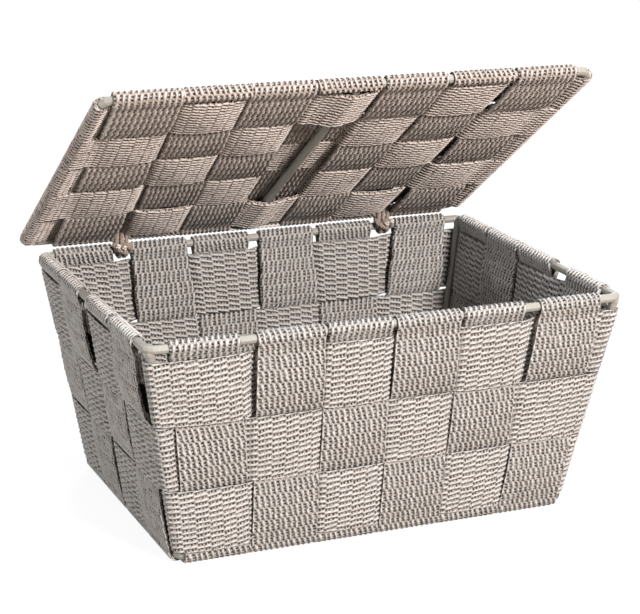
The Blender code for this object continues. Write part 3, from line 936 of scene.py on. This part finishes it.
@dataclass
class Woven:
    """Straps of one lot of webbing on one body."""

    plan: Plan
    weave: Weave
    material: Material
    body: Body

    def lay(
        self, name: str, edges: Sequence[ndarray], crowns: Sequence[float],
        spreads: Sequence[float], closed: bool = False,
    ) -> None:
        """Weave one strap, with crowns and spreads at each point, in place of its solid."""
        mesh = self.weave.ribbon(name, *edges, crowns, spreads, closed)
        place_piece(f"webbing_{name}", mesh, self.material, self.body, [name])


@dataclass
class BasketWeave(Woven):
    """The straps and hoops of the basket."""

    spread: float = 24.6 / 23.0
    pinched: float = 1.0
    pinch: float = 16.0 * MM
    rim_crown: float = 1.3
    floor_crown: float = 0.5
    floor_drop: float = 0.15 * MM
    crowns: Crowns = field(default_factory=lambda: Crowns(0.8 * MM, 1.4 * MM, 3))

    def wall_stops(self, side: int, first: int, axis: int) -> list[Stop]:
        """Lead a strap from its tucked end, over the rim rod and down one wall.

        Args:
            side: The sign of the wall's axis.
            first: +1 where the strap passes outside the top hoop.
            axis: 0 for a side wall, 1 for the front or back.

        Returns:
            The stops, rim first.
        """
        plan = self.plan
        hoops = [plan.hoop_heights(row) for row in range(plan.hoop_count)]
        top = hoops[0][1] + plan.knee_lead

        def stop(z: float, level: float) -> Vector:
            """A point at a height and at a level from the wall's middle."""
            return Vector((side * (plan.wall(axis, z) + level), z))

        stops: list[Stop] = [
            knot(stop(hoops[0][1] - plan.tuck, 0.0)),
            knot(stop(top, 0.0)),
            Bend(Vector((side * plan.rim_half[axis], plan.rim_z)), plan.wrap, -side * first),
        ]
        sign = first
        for row, (low, high) in enumerate(hoops):
            lead = plan.knee_share * plan.row_gap
            upper = top if row == 0 else high + lead
            lower = low - (plan.knee_lead if row == plan.hoop_count - 1 else lead)
            level = sign * plan.level(row)
            crown = self.crowns.next(sign, self.rim_crown if row == 0 else 1.0)
            stops.append(Flat(stop(upper, level), stop(lower, level), crown))
            sign = -sign
        return stops

    def route(self, first: int, axis: int) -> Route:
        """Lead a strap from rim to rim under the floor.

        Args:
            first: +1 where it passes outside the top hoop at its first wall.
            axis: 0 for a strap from side to side, 1 from front to back.

        Returns:
            Its middle line, as distance and height, and its crowns.
        """
        plan = self.plan
        half = plan.strap / 2
        base = [Bend(Vector((x, plan.base_z)), plan.wrap, 1)
                for x in (-plan.base_half[axis], plan.base_half[axis])]
        near = self.wall_stops(-1, first, axis)
        sign = first * (-1) ** plan.hoop_count
        cells = []
        for middle in plan.floor(plan.cross_count if axis == 1 else plan.long_count):
            z = plan.layer - self.floor_drop - sign * plan.layer / 2
            crown = self.crowns.next(sign, self.floor_crown) if sign < 0 else 0.0
            cells.append((middle - half, middle + half, z, crown))
            sign = -sign
        far = self.wall_stops(1, sign * (-1) ** (plan.hoop_count - 1), axis)
        far = [stop.reverse() for stop in reversed(far)]
        return trace([*near, base[0], *plan.flats(cells), base[1], *far])

    def place_strap(
        self, name: str, first: int, axis: int, base: float, near: float, far: float
    ) -> None:
        """Weave one strap and put it in place.

        Args:
            name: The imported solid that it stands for.
            first: +1 where it passes outside the top hoop at its first wall.
            axis: 0 for a strap from side to side, 1 from front to back.
            base: Its middle in the floor.
            near: Its middle at the rim that it starts from.
            far: Its middle at the rim that it ends at.
        """
        plan = self.plan
        points, crowns = self.route(first, axis)
        edges = []
        for side in (-1, 1) if axis == 1 else (1, -1):
            edge = []
            for point in points:
                middle = between(base, near if point.x < 0 else far, plan.up(point.y))
                beside = middle + side * plan.strap / 2
                spot = (beside, point.x, point.y) if axis == 1 else (point.x, beside, point.y)
                edge.append(Vector(spot) + plan.shift)
            edges.append(np.array(edge))
        held = [axis == 1 and p.x > 0 and plan.rim_z - p.y < self.pinch for p in points]
        self.lay(name, edges, crowns, [self.pinched if tight else self.spread for tight in held])

    def hoop_route(self, row: int, z: float, crowns: Sequence[float]) -> Route:
        """Lead a hoop round the walls at one height, anticlockwise from the front left.

        Args:
            row: 0 for the top hoop.
            z: The height.
            crowns: The crown of each crossing, in order.

        Returns:
            Its line in plan and its crowns.
        """
        plan = self.plan
        share = plan.up(z)
        left, right = plan.cross_sides
        fronts, rights, backs, lefts = (
            [between(low, high, share) for low, high in zip(plan.floor(len(rim)), rim)]
            for rim in (plan.long_front, right, plan.long_back, left)
        )
        ahead, aside = Vector((1, 0)), Vector((0, 1))
        walls = (
            (ahead, -aside, plan.wall(1, z), fronts),
            (aside, ahead, plan.wall(0, z), rights),
            (-ahead, aside, plan.wall(1, z), [-x for x in reversed(backs)]),
            (-aside, -ahead, plan.wall(0, z), [-y for y in reversed(lefts)]),
        )
        sign = 1 if row % 2 == 0 else -1
        post = plan.post(z)
        stops: list[Stop] = []
        heights = iter(crowns)
        half = plan.strap / 2
        for along, out, wall, middles in walls:
            cells = []
            for middle in middles:
                level = wall + sign * plan.level(row)
                cells.append((middle - half, middle + half, level, next(heights)))
                sign = -sign
            stops.extend(plan.flats(cells, along, out))
            corner = along + out
            stops.append(Bend(Vector((corner.x * post.x, corner.y * post.y)), plan.wrap, 1))
        return trace(stops, closed=True)

    def place_hoop(self, row: int) -> None:
        """Weave one hoop and put it in place.

        Args:
            row: 0 for the top hoop.
        """
        plan = self.plan
        sign = 1 if row % 2 == 0 else -1
        count = 2 * (plan.long_count + plan.cross_count)
        crowns = [self.crowns.next(sign * (-1) ** i) for i in range(count)]
        edges = []
        heights: list[float] = []
        for z in plan.hoop_heights(row):
            points, heights = self.hoop_route(row, z, crowns)
            edges.append(np.array([Vector((p.x, p.y, z)) + plan.shift for p in points]))
        self.lay(f"hoop_band_{row + 1}", edges, heights, [self.spread] * len(heights), True)

    def build(self) -> None:
        """Weave every strap and hoop of the basket."""
        plan = self.plan
        for i, base in enumerate(plan.floor(plan.long_count)):
            first = -1 if i % 2 == 0 else 1
            ends = plan.long_front[i], plan.long_back[i]
            self.place_strap(f"front_to_back_strap_{i + 1}", first, 1, base, *ends)
        left, right = plan.cross_sides
        for i, base in enumerate(plan.floor(plan.cross_count)):
            first = 1 if i % 2 == 0 else -1
            self.place_strap(f"side_to_side_strap_{i + 1}", first, 0, base, left[i], right[i])
        for row in range(plan.hoop_count):
            self.place_hoop(row)


@dataclass
class LidWeave(Woven):
    """The straps of the lid, in the lid's own plane until they are placed."""

    hinge: Vector
    opening: float
    spread: float = 1.09
    crowns: Crowns = field(default_factory=lambda: Crowns(0.9 * MM, 1.6 * MM, 11))

    def world(self, x: float, v: float, level: float) -> Vector:
        """Place a point by its place along the lid, distance from the hinge and level."""
        lean = Euler((-self.opening, 0.0, 0.0)).to_matrix()
        return self.hinge + lean @ Vector((x, -v, level))

    def columns(self) -> list[list[tuple[float, float]]]:
        """Find where the short straps cross the two long rods of the lid.

        Returns:
            The left and right edge of each strap, first at the far rod, then at the hinge rod.
        """
        plan = self.plan
        width, gap = plan.lid_strap, plan.lid_gap
        gaps = (plan.lid_edge_gap, *[gap] * (plan.lid_columns - 1), plan.lid_edge_gap)
        middles = plan.middles(plan.lid_half, width, gaps, plan.lid_shares)
        far = [(x - width / 2, x + width / 2) for x in middles]
        # At the hinge the inner straps are squeezed between the lashings.
        left, right = (x - plan.lid_shift for x in plan.ties)
        slot = plan.tie_slot / 2
        start = left + slot
        inner = plan.lid_columns - 2
        pinched = (right - slot - start - (inner - 1) * gap) / inner
        near = [(left - slot - width, left - slot)]
        for _ in range(inner):
            near.append((start, start + pinched))
            start += pinched + gap
        near.append((right + slot, right + slot + width))
        return [far, near]

    def rows(self) -> list[tuple[float, float]]:
        """Find where the long straps lie.

        Returns:
            The distances of each strap's near and far edge from the hinge, far strap first.
        """
        plan = self.plan
        pitch = plan.lid_strap + plan.lid_gap
        nears = [plan.lid_edge_gap + i * pitch for i in reversed(range(plan.lid_rows))]
        return [(near, near + plan.lid_strap) for near in nears]

    @property
    def stiffener(self) -> float:
        """Where the cross rod lies along the lid."""
        column = self.plan.stiffener_column - 1
        return sum(sum(edges[column]) for edges in self.columns()) / 4

    def levels(self, row: int, column: int) -> tuple[float, float | None, float, float | None]:
        """Find the levels where two straps cross.

        Args:
            row: The long strap, counted from 1 at the far rod.
            column: The short strap, counted from 1 at the left.

        Returns:
            The levels of the short strap, its tail, the long strap and its tail.
        """
        plan = self.plan
        layer = plan.layer
        sign = -1 if (row + column) % 2 == 0 else 1
        if column == plan.stiffener_column:
            behind = plan.stiffener_level + plan.rod + plan.stiffener_gap
            if row in (1, plan.lid_rows):
                return behind, None, -layer, None
            middle = behind + layer / 2
            return middle + sign * layer / 2, None, middle - sign * layer / 2, None
        short_tail = row in (1, plan.lid_rows)
        long_tail = column in (1, plan.lid_columns)
        top = (1 + short_tail + long_tail) / 2
        outer, inner = sign * layer * top, sign * layer * (top - 1)
        return outer, inner if short_tail else None, -outer, -inner if long_tail else None

    def crown(self, row: int, column: int, way: int) -> float:
        """Draw the crown of a crossing, where way is +1 for the short strap, -1 for the long."""
        share = 0.0 if column == self.plan.stiffener_column else 1.0
        return self.crowns.next(way * (-1) ** (row + column + 1), share)

    def ended(
        self, stops: list[Stop], rods: Sequence[float], ends: Sequence[Sequence[float | None]]
    ) -> list[Stop]:
        """Fold both ends of a strap round the rods and back under its first crossings.

        Args:
            stops: The strap without its ends.
            rods: The places of the two rods.
            ends: The level of the strap and of its tail at each end.

        Returns:
            The whole strap.
        """
        plan = self.plan
        folds = []
        edges = (stops[0].start.x, stops[-1].end.x)
        for rod, (level, tail), way, edge in zip(rods, ends, (1, -1), edges):
            side = 1 if level > 0 else -1
            tucked = [Vector((rod, -side * plan.wrap))]
            if tail is not None:
                tucked = [Vector((edge, tail)), Vector((edge + way * plan.tuck, tail))]
            bend = Bend(Vector((rod, 0.0)), plan.wrap, -side)
            folds.append([bend, *(knot(place) for place in tucked)])
        return folds[0][::-1] + stops + folds[1]

    def place_short(self, column: int) -> None:
        """Weave a strap from the hinge rod to the far rod.

        Args:
            column: The strap, counted from 1 at the left.
        """
        plan = self.plan
        rows = range(plan.lid_rows, 0, -1)
        levels = [self.levels(row, column) for row in rows]
        edges = reversed(self.rows())
        cells = [
            (*edge, level[0], self.crown(row, column, 1))
            for edge, row, level in zip(edges, rows, levels)
        ]
        ends = (levels[0][:2], levels[-1][:2])
        points, crowns = trace(self.ended(plan.flats(cells), (0.0, plan.lid_depth), ends))
        shares = [min(1.0, max(0.0, point.x / plan.lid_depth)) for point in points]
        far, near = (edges[column - 1] for edges in self.columns())
        sides = [
            np.array([self.world(between(low, high, t), p.x, p.y) for t, p in zip(shares, points)])
            for low, high in zip(near, far)
        ]
        self.lay(f"lid_short_strap_{column}", sides, crowns, [self.spread] * len(crowns))

    def long_route(self, row: int, v: float, crowns: Sequence[float]) -> Route:
        """Lead one edge of a long strap along the lid.

        Args:
            row: The strap, counted from 1 at the far rod.
            v: The edge's distance from the hinge rod.
            crowns: The crown of each crossing.

        Returns:
            The edge's line, as place and level, and its crowns.
        """
        plan = self.plan
        share = v / plan.lid_depth
        levels = [self.levels(row, column) for column in range(1, plan.lid_columns + 1)]
        cells = []
        for far, near, level, crown in zip(*self.columns(), levels, crowns):
            start, end = (between(low, high, share) for low, high in zip(near, far))
            cells.append((start, end, level[2], crown))
        stops = plan.flats(cells)
        if row in (1, plan.lid_rows):
            x, reach = self.stiffener, plan.stiffener_approach
            at = plan.stiffener_column - 1
            stops[at:at + 1] = [
                knot(stops[at].start),
                knot(Vector((x - reach, -plan.layer))),
                Bend(Vector((x, plan.stiffener_level)), plan.wrap, 1),
                knot(Vector((x + reach, -plan.layer))),
                knot(stops[at].end),
            ]
        ends = (levels[0][2:], levels[-1][2:])
        return trace(self.ended(stops, (-plan.lid_half, plan.lid_half), ends))

    def place_long(self, row: int) -> None:
        """Weave a strap from the left rod to the right rod.

        Args:
            row: The strap, counted from 1 at the far rod.
        """
        crowns = [self.crown(row, column, -1) for column in range(1, self.plan.lid_columns + 1)]
        sides = []
        heights: list[float] = []
        for v in reversed(self.rows()[row - 1]):
            points, heights = self.long_route(row, v, crowns)
            sides.append(np.array([self.world(p.x, v, p.y) for p in points]))
        self.lay(f"lid_long_strap_{row}", sides, heights, [self.spread] * len(heights))

    def build(self) -> None:
        """Weave every strap of the lid."""
        for column in range(1, self.plan.lid_columns + 1):
            self.place_short(column)
        for row in range(1, self.plan.lid_rows + 1):
            self.place_long(row)


def tube(points: ndarray, radii: ndarray, sides: int) -> Shape:
    """Sweep a circle along a line, with closed ends.

    Args:
        points: One row for each point of the line.
        radii: The radius at each point.
        sides: The sides of the circle.

    Returns:
        The vertices and the four-sided faces.
    """
    steep = abs(slopes(points, False)[0][0]) >= 0.9
    across, other = frames(points, (0.0, 0.0, 1.0) if steep else (1.0, 0.0, 0.0))
    angle = 2 * pi * np.arange(sides)[:, None] / sides
    circle = across[:, None] * np.cos(angle) + other[:, None] * np.sin(angle)
    rings = points[:, None] + circle * radii[:, None, None]
    faces = grid_faces(len(points), sides, False).reshape(-1, 4)
    j = np.arange(sides // 2 - 1)
    end = np.stack([j, j + 1, sides - 2 - j, sides - 1 - j], axis=-1)
    faces = np.vstack([faces, end[:, ::-1], end + (len(points) - 1) * sides])
    return rings.reshape(-1, 3), faces


def smooth_line(points: Sequence[Sequence[float]], spacing: float, reach: float) -> ndarray:
    """Draw a smooth line near a row of points.

    Args:
        points: The points, in metres.
        spacing: The distance between the line's own points.
        reach: How far each corner is rounded.

    Returns:
        One row for each point of the line.
    """
    table = np.array([tuple(point) for point in points], dtype=float)
    lengths = chord_lengths(table, False)
    fine = respace(table, lengths, int(lengths[-1] / spacing), False)
    fine = soften(fine, reach / spacing, False)
    lengths = chord_lengths(fine, False)
    return respace(fine, lengths, int(lengths[-1] / spacing), False)


def join(shapes: Sequence[Shape]) -> Shape:
    """Put several shapes in one.

    Args:
        shapes: The vertices and faces of each.

    Returns:
        The vertices and faces of all.
    """
    points, faces, start = [], [], 0
    for vertices, sides in shapes:
        points.append(vertices)
        faces.append(sides + start)
        start += len(vertices)
    return np.vstack(points), np.vstack(faces)


@dataclass
class HingeLashings:
    """The two lashings of twisted cord that hold the lid's hinge rod to the rim rod."""

    plan: Plan
    material: Material
    cut: Material
    hinge: Vector
    turns: float = 2.5
    radius: float = 0.9 * MM
    plies: int = 3
    ply_share: float = 0.5
    ply_overlap: float = 1.05
    ply_sides: int = 8
    lay: float = 4.2 * MM
    clearance: float = 0.2 * MM
    turn_points: int = 40
    frayed: int = 6
    splay: float = 1.12
    step: float = 0.25 * MM
    end_step: float = 0.2 * MM
    forward: float = 4.3 * MM
    hitches: tuple[tuple[tuple[float, float, float], ...], ...] = (
        ((-2.6, 3.0, 0.0), (-3.5, 0.9, -0.6), (-3.1, -0.3, -1.1), (-1.5, -0.8, -2.2),
         (0.6, -0.4, -3.4), (1.6, 1.2, -4.4), (1.2, 3.4, -4.8)),
        ((-2.8, 1.8, -3.0), (-1.6, 0.4, -1.8), (0.6, 0.1, -0.8), (2.6, 0.2, -0.4),
         (3.5, 1.4, -0.8), (3.4, 3.4, -1.4)),
        ((2.9, 2.8, -3.8), (3.2, 0.7, -2.4), (2.1, -0.5, -1.2), (0.4, -0.2, -0.3),
         (-0.6, 1.6, 0.3)),
    )
    ends: tuple[tuple[tuple[float, float, float], ...], ...] = (
        ((-0.4, 0.8, -1.0), (-1.8, -0.7, -0.6), (-2.9, -1.8, -0.4)),
        ((1.0, 0.8, -1.2), (0.3, -1.0, -1.0), (-0.4, -2.1, -1.1)),
    )

    def twisted(self, line: ndarray, radius: float) -> list[Shape]:
        """Lay plies round a line.

        Args:
            line: The cord's middle.
            radius: The cord's radius.

        Returns:
            The shape of each ply.
        """
        across, other = frames(line, (1.0, 0.1, 0.2))
        lengths = chord_lengths(line, False)[:, None]
        ply = radius * self.ply_share
        radii = np.full(len(line), ply * self.ply_overlap)
        shapes = []
        for k in range(self.plies):
            angle = 2 * pi * (lengths / self.lay + k / self.plies)
            offset = across * np.cos(angle) + other * np.sin(angle)
            shapes.append(tube(line + offset * (radius - ply), radii, self.ply_sides))
        return shapes

    def wraps(self, x: float) -> list[Vector]:
        """Lead the cord round both rods.

        Args:
            x: The middle of the lashing.

        Returns:
            The points of the turns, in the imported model's frame.
        """
        plan = self.plan
        rim = Vector((plan.rim_half.y + plan.shift.y, plan.rim_z))
        hinge = Vector((self.hinge.y, self.hinge.z))
        axis = (hinge - rim).normalized()
        left = Vector((-axis.y, axis.x))
        radius = plan.rod + self.clearance + self.radius
        run = (hinge - rim).length
        lap = 2 * run + 2 * pi * radius
        length = self.turns * lap
        points = []
        count = round(self.turns * self.turn_points)
        for i in range(count + 1):
            distance = length * i / count
            along = plan.cord_pitch * (distance - length / 2) / lap
            place = distance % lap
            if place < run:
                spot = rim + axis * place + left * radius
            elif place < run + pi * radius:
                angle = (place - run) / radius
                spot = hinge + radius * (left * cos(angle) + axis * sin(angle))
            elif place < 2 * run + pi * radius:
                spot = hinge - axis * (place - run - pi * radius) - left * radius
            else:
                angle = (place - 2 * run - pi * radius) / radius
                spot = rim - radius * (left * cos(angle) + axis * sin(angle))
            points.append(Vector((x + along, spot.x, spot.y)))
        return points

    def strand(
        self, middle: Vector, spots: Sequence[Sequence[float]], flip: int, spacing: float
    ) -> ndarray:
        """The line through spots in millimetres from a middle, mirrored where flip is -1."""
        points = [middle + MM * Vector((flip * x, y, z)) for x, y, z in spots]
        return smooth_line(points, spacing, 2 * spacing)

    def build(self) -> None:
        """Lash the lid to the rim, with the knot set below the shut lid."""
        plan = self.plan
        middle_y = (plan.rim_half.y + plan.shift.y + self.hinge.y) / 2 - self.forward
        middle_z = (plan.rim_z + self.hinge.z) / 2
        for name, place, flip in zip(("left", "right"), plan.ties, (1, -1)):
            middle = Vector((place + plan.shift.x, middle_y, middle_z))
            turns = smooth_line(self.wraps(place + plan.shift.x), self.step, 2 * self.step)
            hitches = [self.strand(middle, spots, 1, self.step) for spots in self.hitches]
            tails = [self.strand(middle, spots, flip, self.end_step) for spots in self.ends]
            tips = [line[-self.frayed:] for line in tails]
            for piece, lines, radius, material, nodes in (
                ("lashing", [turns, *hitches, *tails], self.radius, self.material, ["hinge_tie"]),
                ("cut_ends", tips, self.radius * self.splay, self.cut, []),
            ):
                shapes = [shape for line in lines for shape in self.twisted(line, radius)]
                mesh = make_mesh(f"{piece}_{name}", *join(shapes))
                nodes = [f"{node}_{name}" for node in nodes]
                place_piece(mesh.name, mesh, material, Body.BASKET, nodes)


@dataclass
class WireFrame:
    """The welded frame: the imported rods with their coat, and the weld beads at the corners."""

    plan: Plan
    material: Material
    nodes: tuple[str, ...] = (
        "rim_rod", "base_rod", "corner_post_front_left", "corner_post_front_right",
        "corner_post_back_left", "corner_post_back_right", "lid_rim_rod", "lid_cross_rod",
    )
    bead_radius: float = 1.75 * MM
    bead_stretch: float = 1.1
    bead_taper: float = 0.96
    bead_least: float = 0.02
    bead_uneven: tuple[float, float] = (0.94, 1.06)
    bead_rings: int = 11
    bead_sides: int = 12

    def bead(self, middle: Vector, seed: int) -> Shape:
        """Shape one weld: a lump that is drawn in at its ends and a little uneven.

        Args:
            middle: Where the wires meet.
            seed: The seed of its unevenness.

        Returns:
            The vertices and faces.
        """
        draw = np.random.default_rng(seed)
        t = np.linspace(-1.0, 1.0, self.bead_rings)
        rise = [0.0, 0.0, self.bead_radius * self.bead_stretch]
        line = np.array(middle)[None, :] + np.outer(t, rise)
        ball = np.sqrt(np.clip(1 - (t * self.bead_taper) ** 2, self.bead_least, 1.0))
        radii = self.bead_radius * ball * draw.uniform(*self.bead_uneven, len(t))
        return tube(line, radii, self.bead_sides)

    def build(self) -> None:
        """Coat the rods and add the welds."""
        for node in self.nodes:
            for slot in frame["nodes"][node].material_slots:
                slot.material = self.material
        plan = self.plan
        shapes = []
        for i, (x, y) in enumerate(((-1, -1), (1, -1), (-1, 1), (1, 1))):
            for j, z in enumerate((plan.base_z + plan.rod, plan.rim_z - plan.rod)):
                post = plan.post(z)
                middle = Vector((x * post.x, y * post.y, z)) + plan.shift
                shapes.append(self.bead(middle, 10 * i + j))
        mesh = make_mesh("weld_beads", *join(shapes))
        place_piece("weld_beads", mesh, self.material, Body.BASKET)


def seen_ray(tree: NodeTree) -> Node:
    """Pick out the rays that show the background: straight, off gloss or through glass.

    Args:
        tree: The node tree that asks.

    Returns:
        The node that holds 1 for such a ray and 0 for any other.
    """
    path = add_node(tree, "LightPath", {}, {})
    direct = add_node(tree, "Math", MOST, [(path, "Is Camera Ray"), (path, "Is Glossy Ray")])
    return add_node(tree, "Math", MOST, [direct, (path, "Is Transmission Ray")])


@dataclass
class Studio:
    """A pale floor, soft lamps and the camera."""

    target: Vector = field(default_factory=lambda: Vector((0.0, 0.0, 0.07)))
    focal: float = 109.9
    place: tuple[float, float, float] = (-0.28127, -0.64098, 0.28124)
    turn: tuple[float, float, float] = (1.27943, -0.01712, -0.41164)
    ambient: float = 0.15
    tint: tuple[float, float, float, float] = (1.0, 0.86, 0.74, 1.0)
    white: tuple[float, float, float, float] = (1.0, 1.0, 1.0, 1.0)
    paper: str = "e4e3e1"
    bounce: str = "968c82"
    wash: float = 0.9
    glow: float = 1.04
    reach: float = 8.0
    floor_z: float = -0.25 * MM

    def floor(self) -> None:
        """Lay the floor, which keeps the basket's shadow."""
        material, tree = new_material("pale paper floor")
        shader = tree.nodes["Principled BSDF"]
        shader.inputs["Roughness"].default_value = 0.9
        shader.inputs["Specular IOR Level"].default_value = 0.1
        seen = seen_ray(tree)
        paper, bounce = linear(self.paper), linear(self.bounce)
        colour = add_node(
            tree, "Mix", RGBA, {MIX_SHARE: seen, MIX_FIRST: bounce, MIX_SECOND: paper}
        )
        tree.links.new(colour.outputs[MIX_RESULT], shader.inputs["Base Color"])
        share = add_node(tree, "Math", TIMES, [seen, self.wash])
        glow = add_node(tree, "Emission", {}, {"Color": self.white, "Strength": self.glow})
        both = add_node(tree, "MixShader", {}, {0: share, 1: shader, 2: glow})
        tree.links.new(both.outputs[0], tree.nodes["Material Output"].inputs["Surface"])
        corners = [(x * self.reach, y * self.reach, self.floor_z)
                   for x, y in ((-1, -1), (1, -1), (1, 1), (-1, 1))]
        mesh = make_mesh("floor", np.array(corners), np.array([[0, 1, 2, 3]]))
        mesh.materials.append(material)
        piece = bpy.data.objects.new("floor", mesh)
        bpy.context.scene.collection.objects.link(piece)

    def lamp(
        self, name: str, place: Sequence[float], size: float, power: float, colour: Sequence[float]
    ) -> None:
        """Hang one soft lamp that faces the basket.

        Args:
            name: The lamp's name.
            place: Where it hangs.
            size: The side of its square face.
            power: Its power in watts.
            colour: The colour of its light.
        """
        data = bpy.data.lights.new(name, "AREA")
        data.shape = "SQUARE"
        data.color = colour
        data.size = size
        data.energy = power
        lamp = bpy.data.objects.new(name, data)
        lamp.location = place
        lamp.rotation_euler = (self.target - Vector(place)).to_track_quat("-Z", "Y").to_euler()
        bpy.context.scene.collection.objects.link(lamp)

    def sky(self) -> None:
        """Light the basket evenly from all round, before a white ground."""
        world = bpy.data.worlds.new("studio")
        bpy.context.scene.world = world
        world.use_nodes = True
        tree = world.node_tree
        seen = seen_ray(tree)
        span = {"To Min": self.ambient, "To Max": 1.0}
        strength = add_node(tree, "MapRange", {}, {"Value": seen, **span})
        tree.links.new(strength.outputs[0], tree.nodes["Background"].inputs["Strength"])
        tint = add_node(
            tree, "Mix", RGBA, {MIX_SHARE: seen, MIX_FIRST: self.tint, MIX_SECOND: self.white}
        )
        tree.links.new(tint.outputs[MIX_RESULT], tree.nodes["Background"].inputs["Color"])

    def camera(self) -> None:
        """Set the camera where the photograph was taken from."""
        data = bpy.data.cameras.new("camera")
        data.sensor_width = 36.0
        data.lens = self.focal
        data.clip_start = 0.01
        data.clip_end = 50.0
        camera = bpy.data.objects.new("camera", data)
        camera.location = self.place
        camera.rotation_euler = self.turn
        bpy.context.scene.collection.objects.link(camera)
        bpy.context.scene.camera = camera

    def build(self) -> None:
        """Set up the floor, the lamps, the sky and the camera."""
        self.floor()
        self.sky()
        self.lamp("key lamp", (0.3, -1.28, 0.74), 0.25, 47.0, (1.0, 0.955, 0.92))
        self.lamp("fill lamp", (-1.35, -0.15, 0.22), 0.4, 12.0, (0.93, 0.97, 1.0))
        self.lamp("top lamp", (0.1, -0.3, 1.4), 0.8, 25.0, (0.88, 0.95, 1.0))
        self.lamp("back lamp", (0.5, 1.3, 0.7), 0.5, 24.0, (0.94, 0.97, 1.0))
        self.camera()
        bpy.context.scene.view_settings.view_transform = "Standard"


def main() -> None:
    """Build every piece, in order."""
    logging.basicConfig(level=logging.INFO, format="%(message)s")
    joint = frame["joints"][0]
    hinge = Vector(joint["pos_m"])
    opening = radians(-joint["range_deg"][0])
    plan = Plan()
    weave = Weave()
    webbing = weave.finish.material()
    # The lid takes a browner copy of the same webbing: painted warm shade for its inner face, which
    # faces down into the basket.
    browner = replace(
        weave.finish, name="webbing with painted warm shade", yarn="a9a09b", ground="a6988f", pit="2e1f14"
    ).material()
    wire = PowderCoatedWire().material()
    cord = TwistedCord().material()
    cut = TwistedCord(name="cut ends of the cord", ply="e2d8ce", shade="8f8074").material()
    Studio().build()
    WireFrame(plan, wire).build()
    BasketWeave(plan, weave, webbing, Body.BASKET).build()
    LidWeave(plan, weave, browner, Body.LID, hinge, opening).build()
    HingeLashings(plan, cord, cut, hinge).build()


if __name__ == "__main__":
    main()
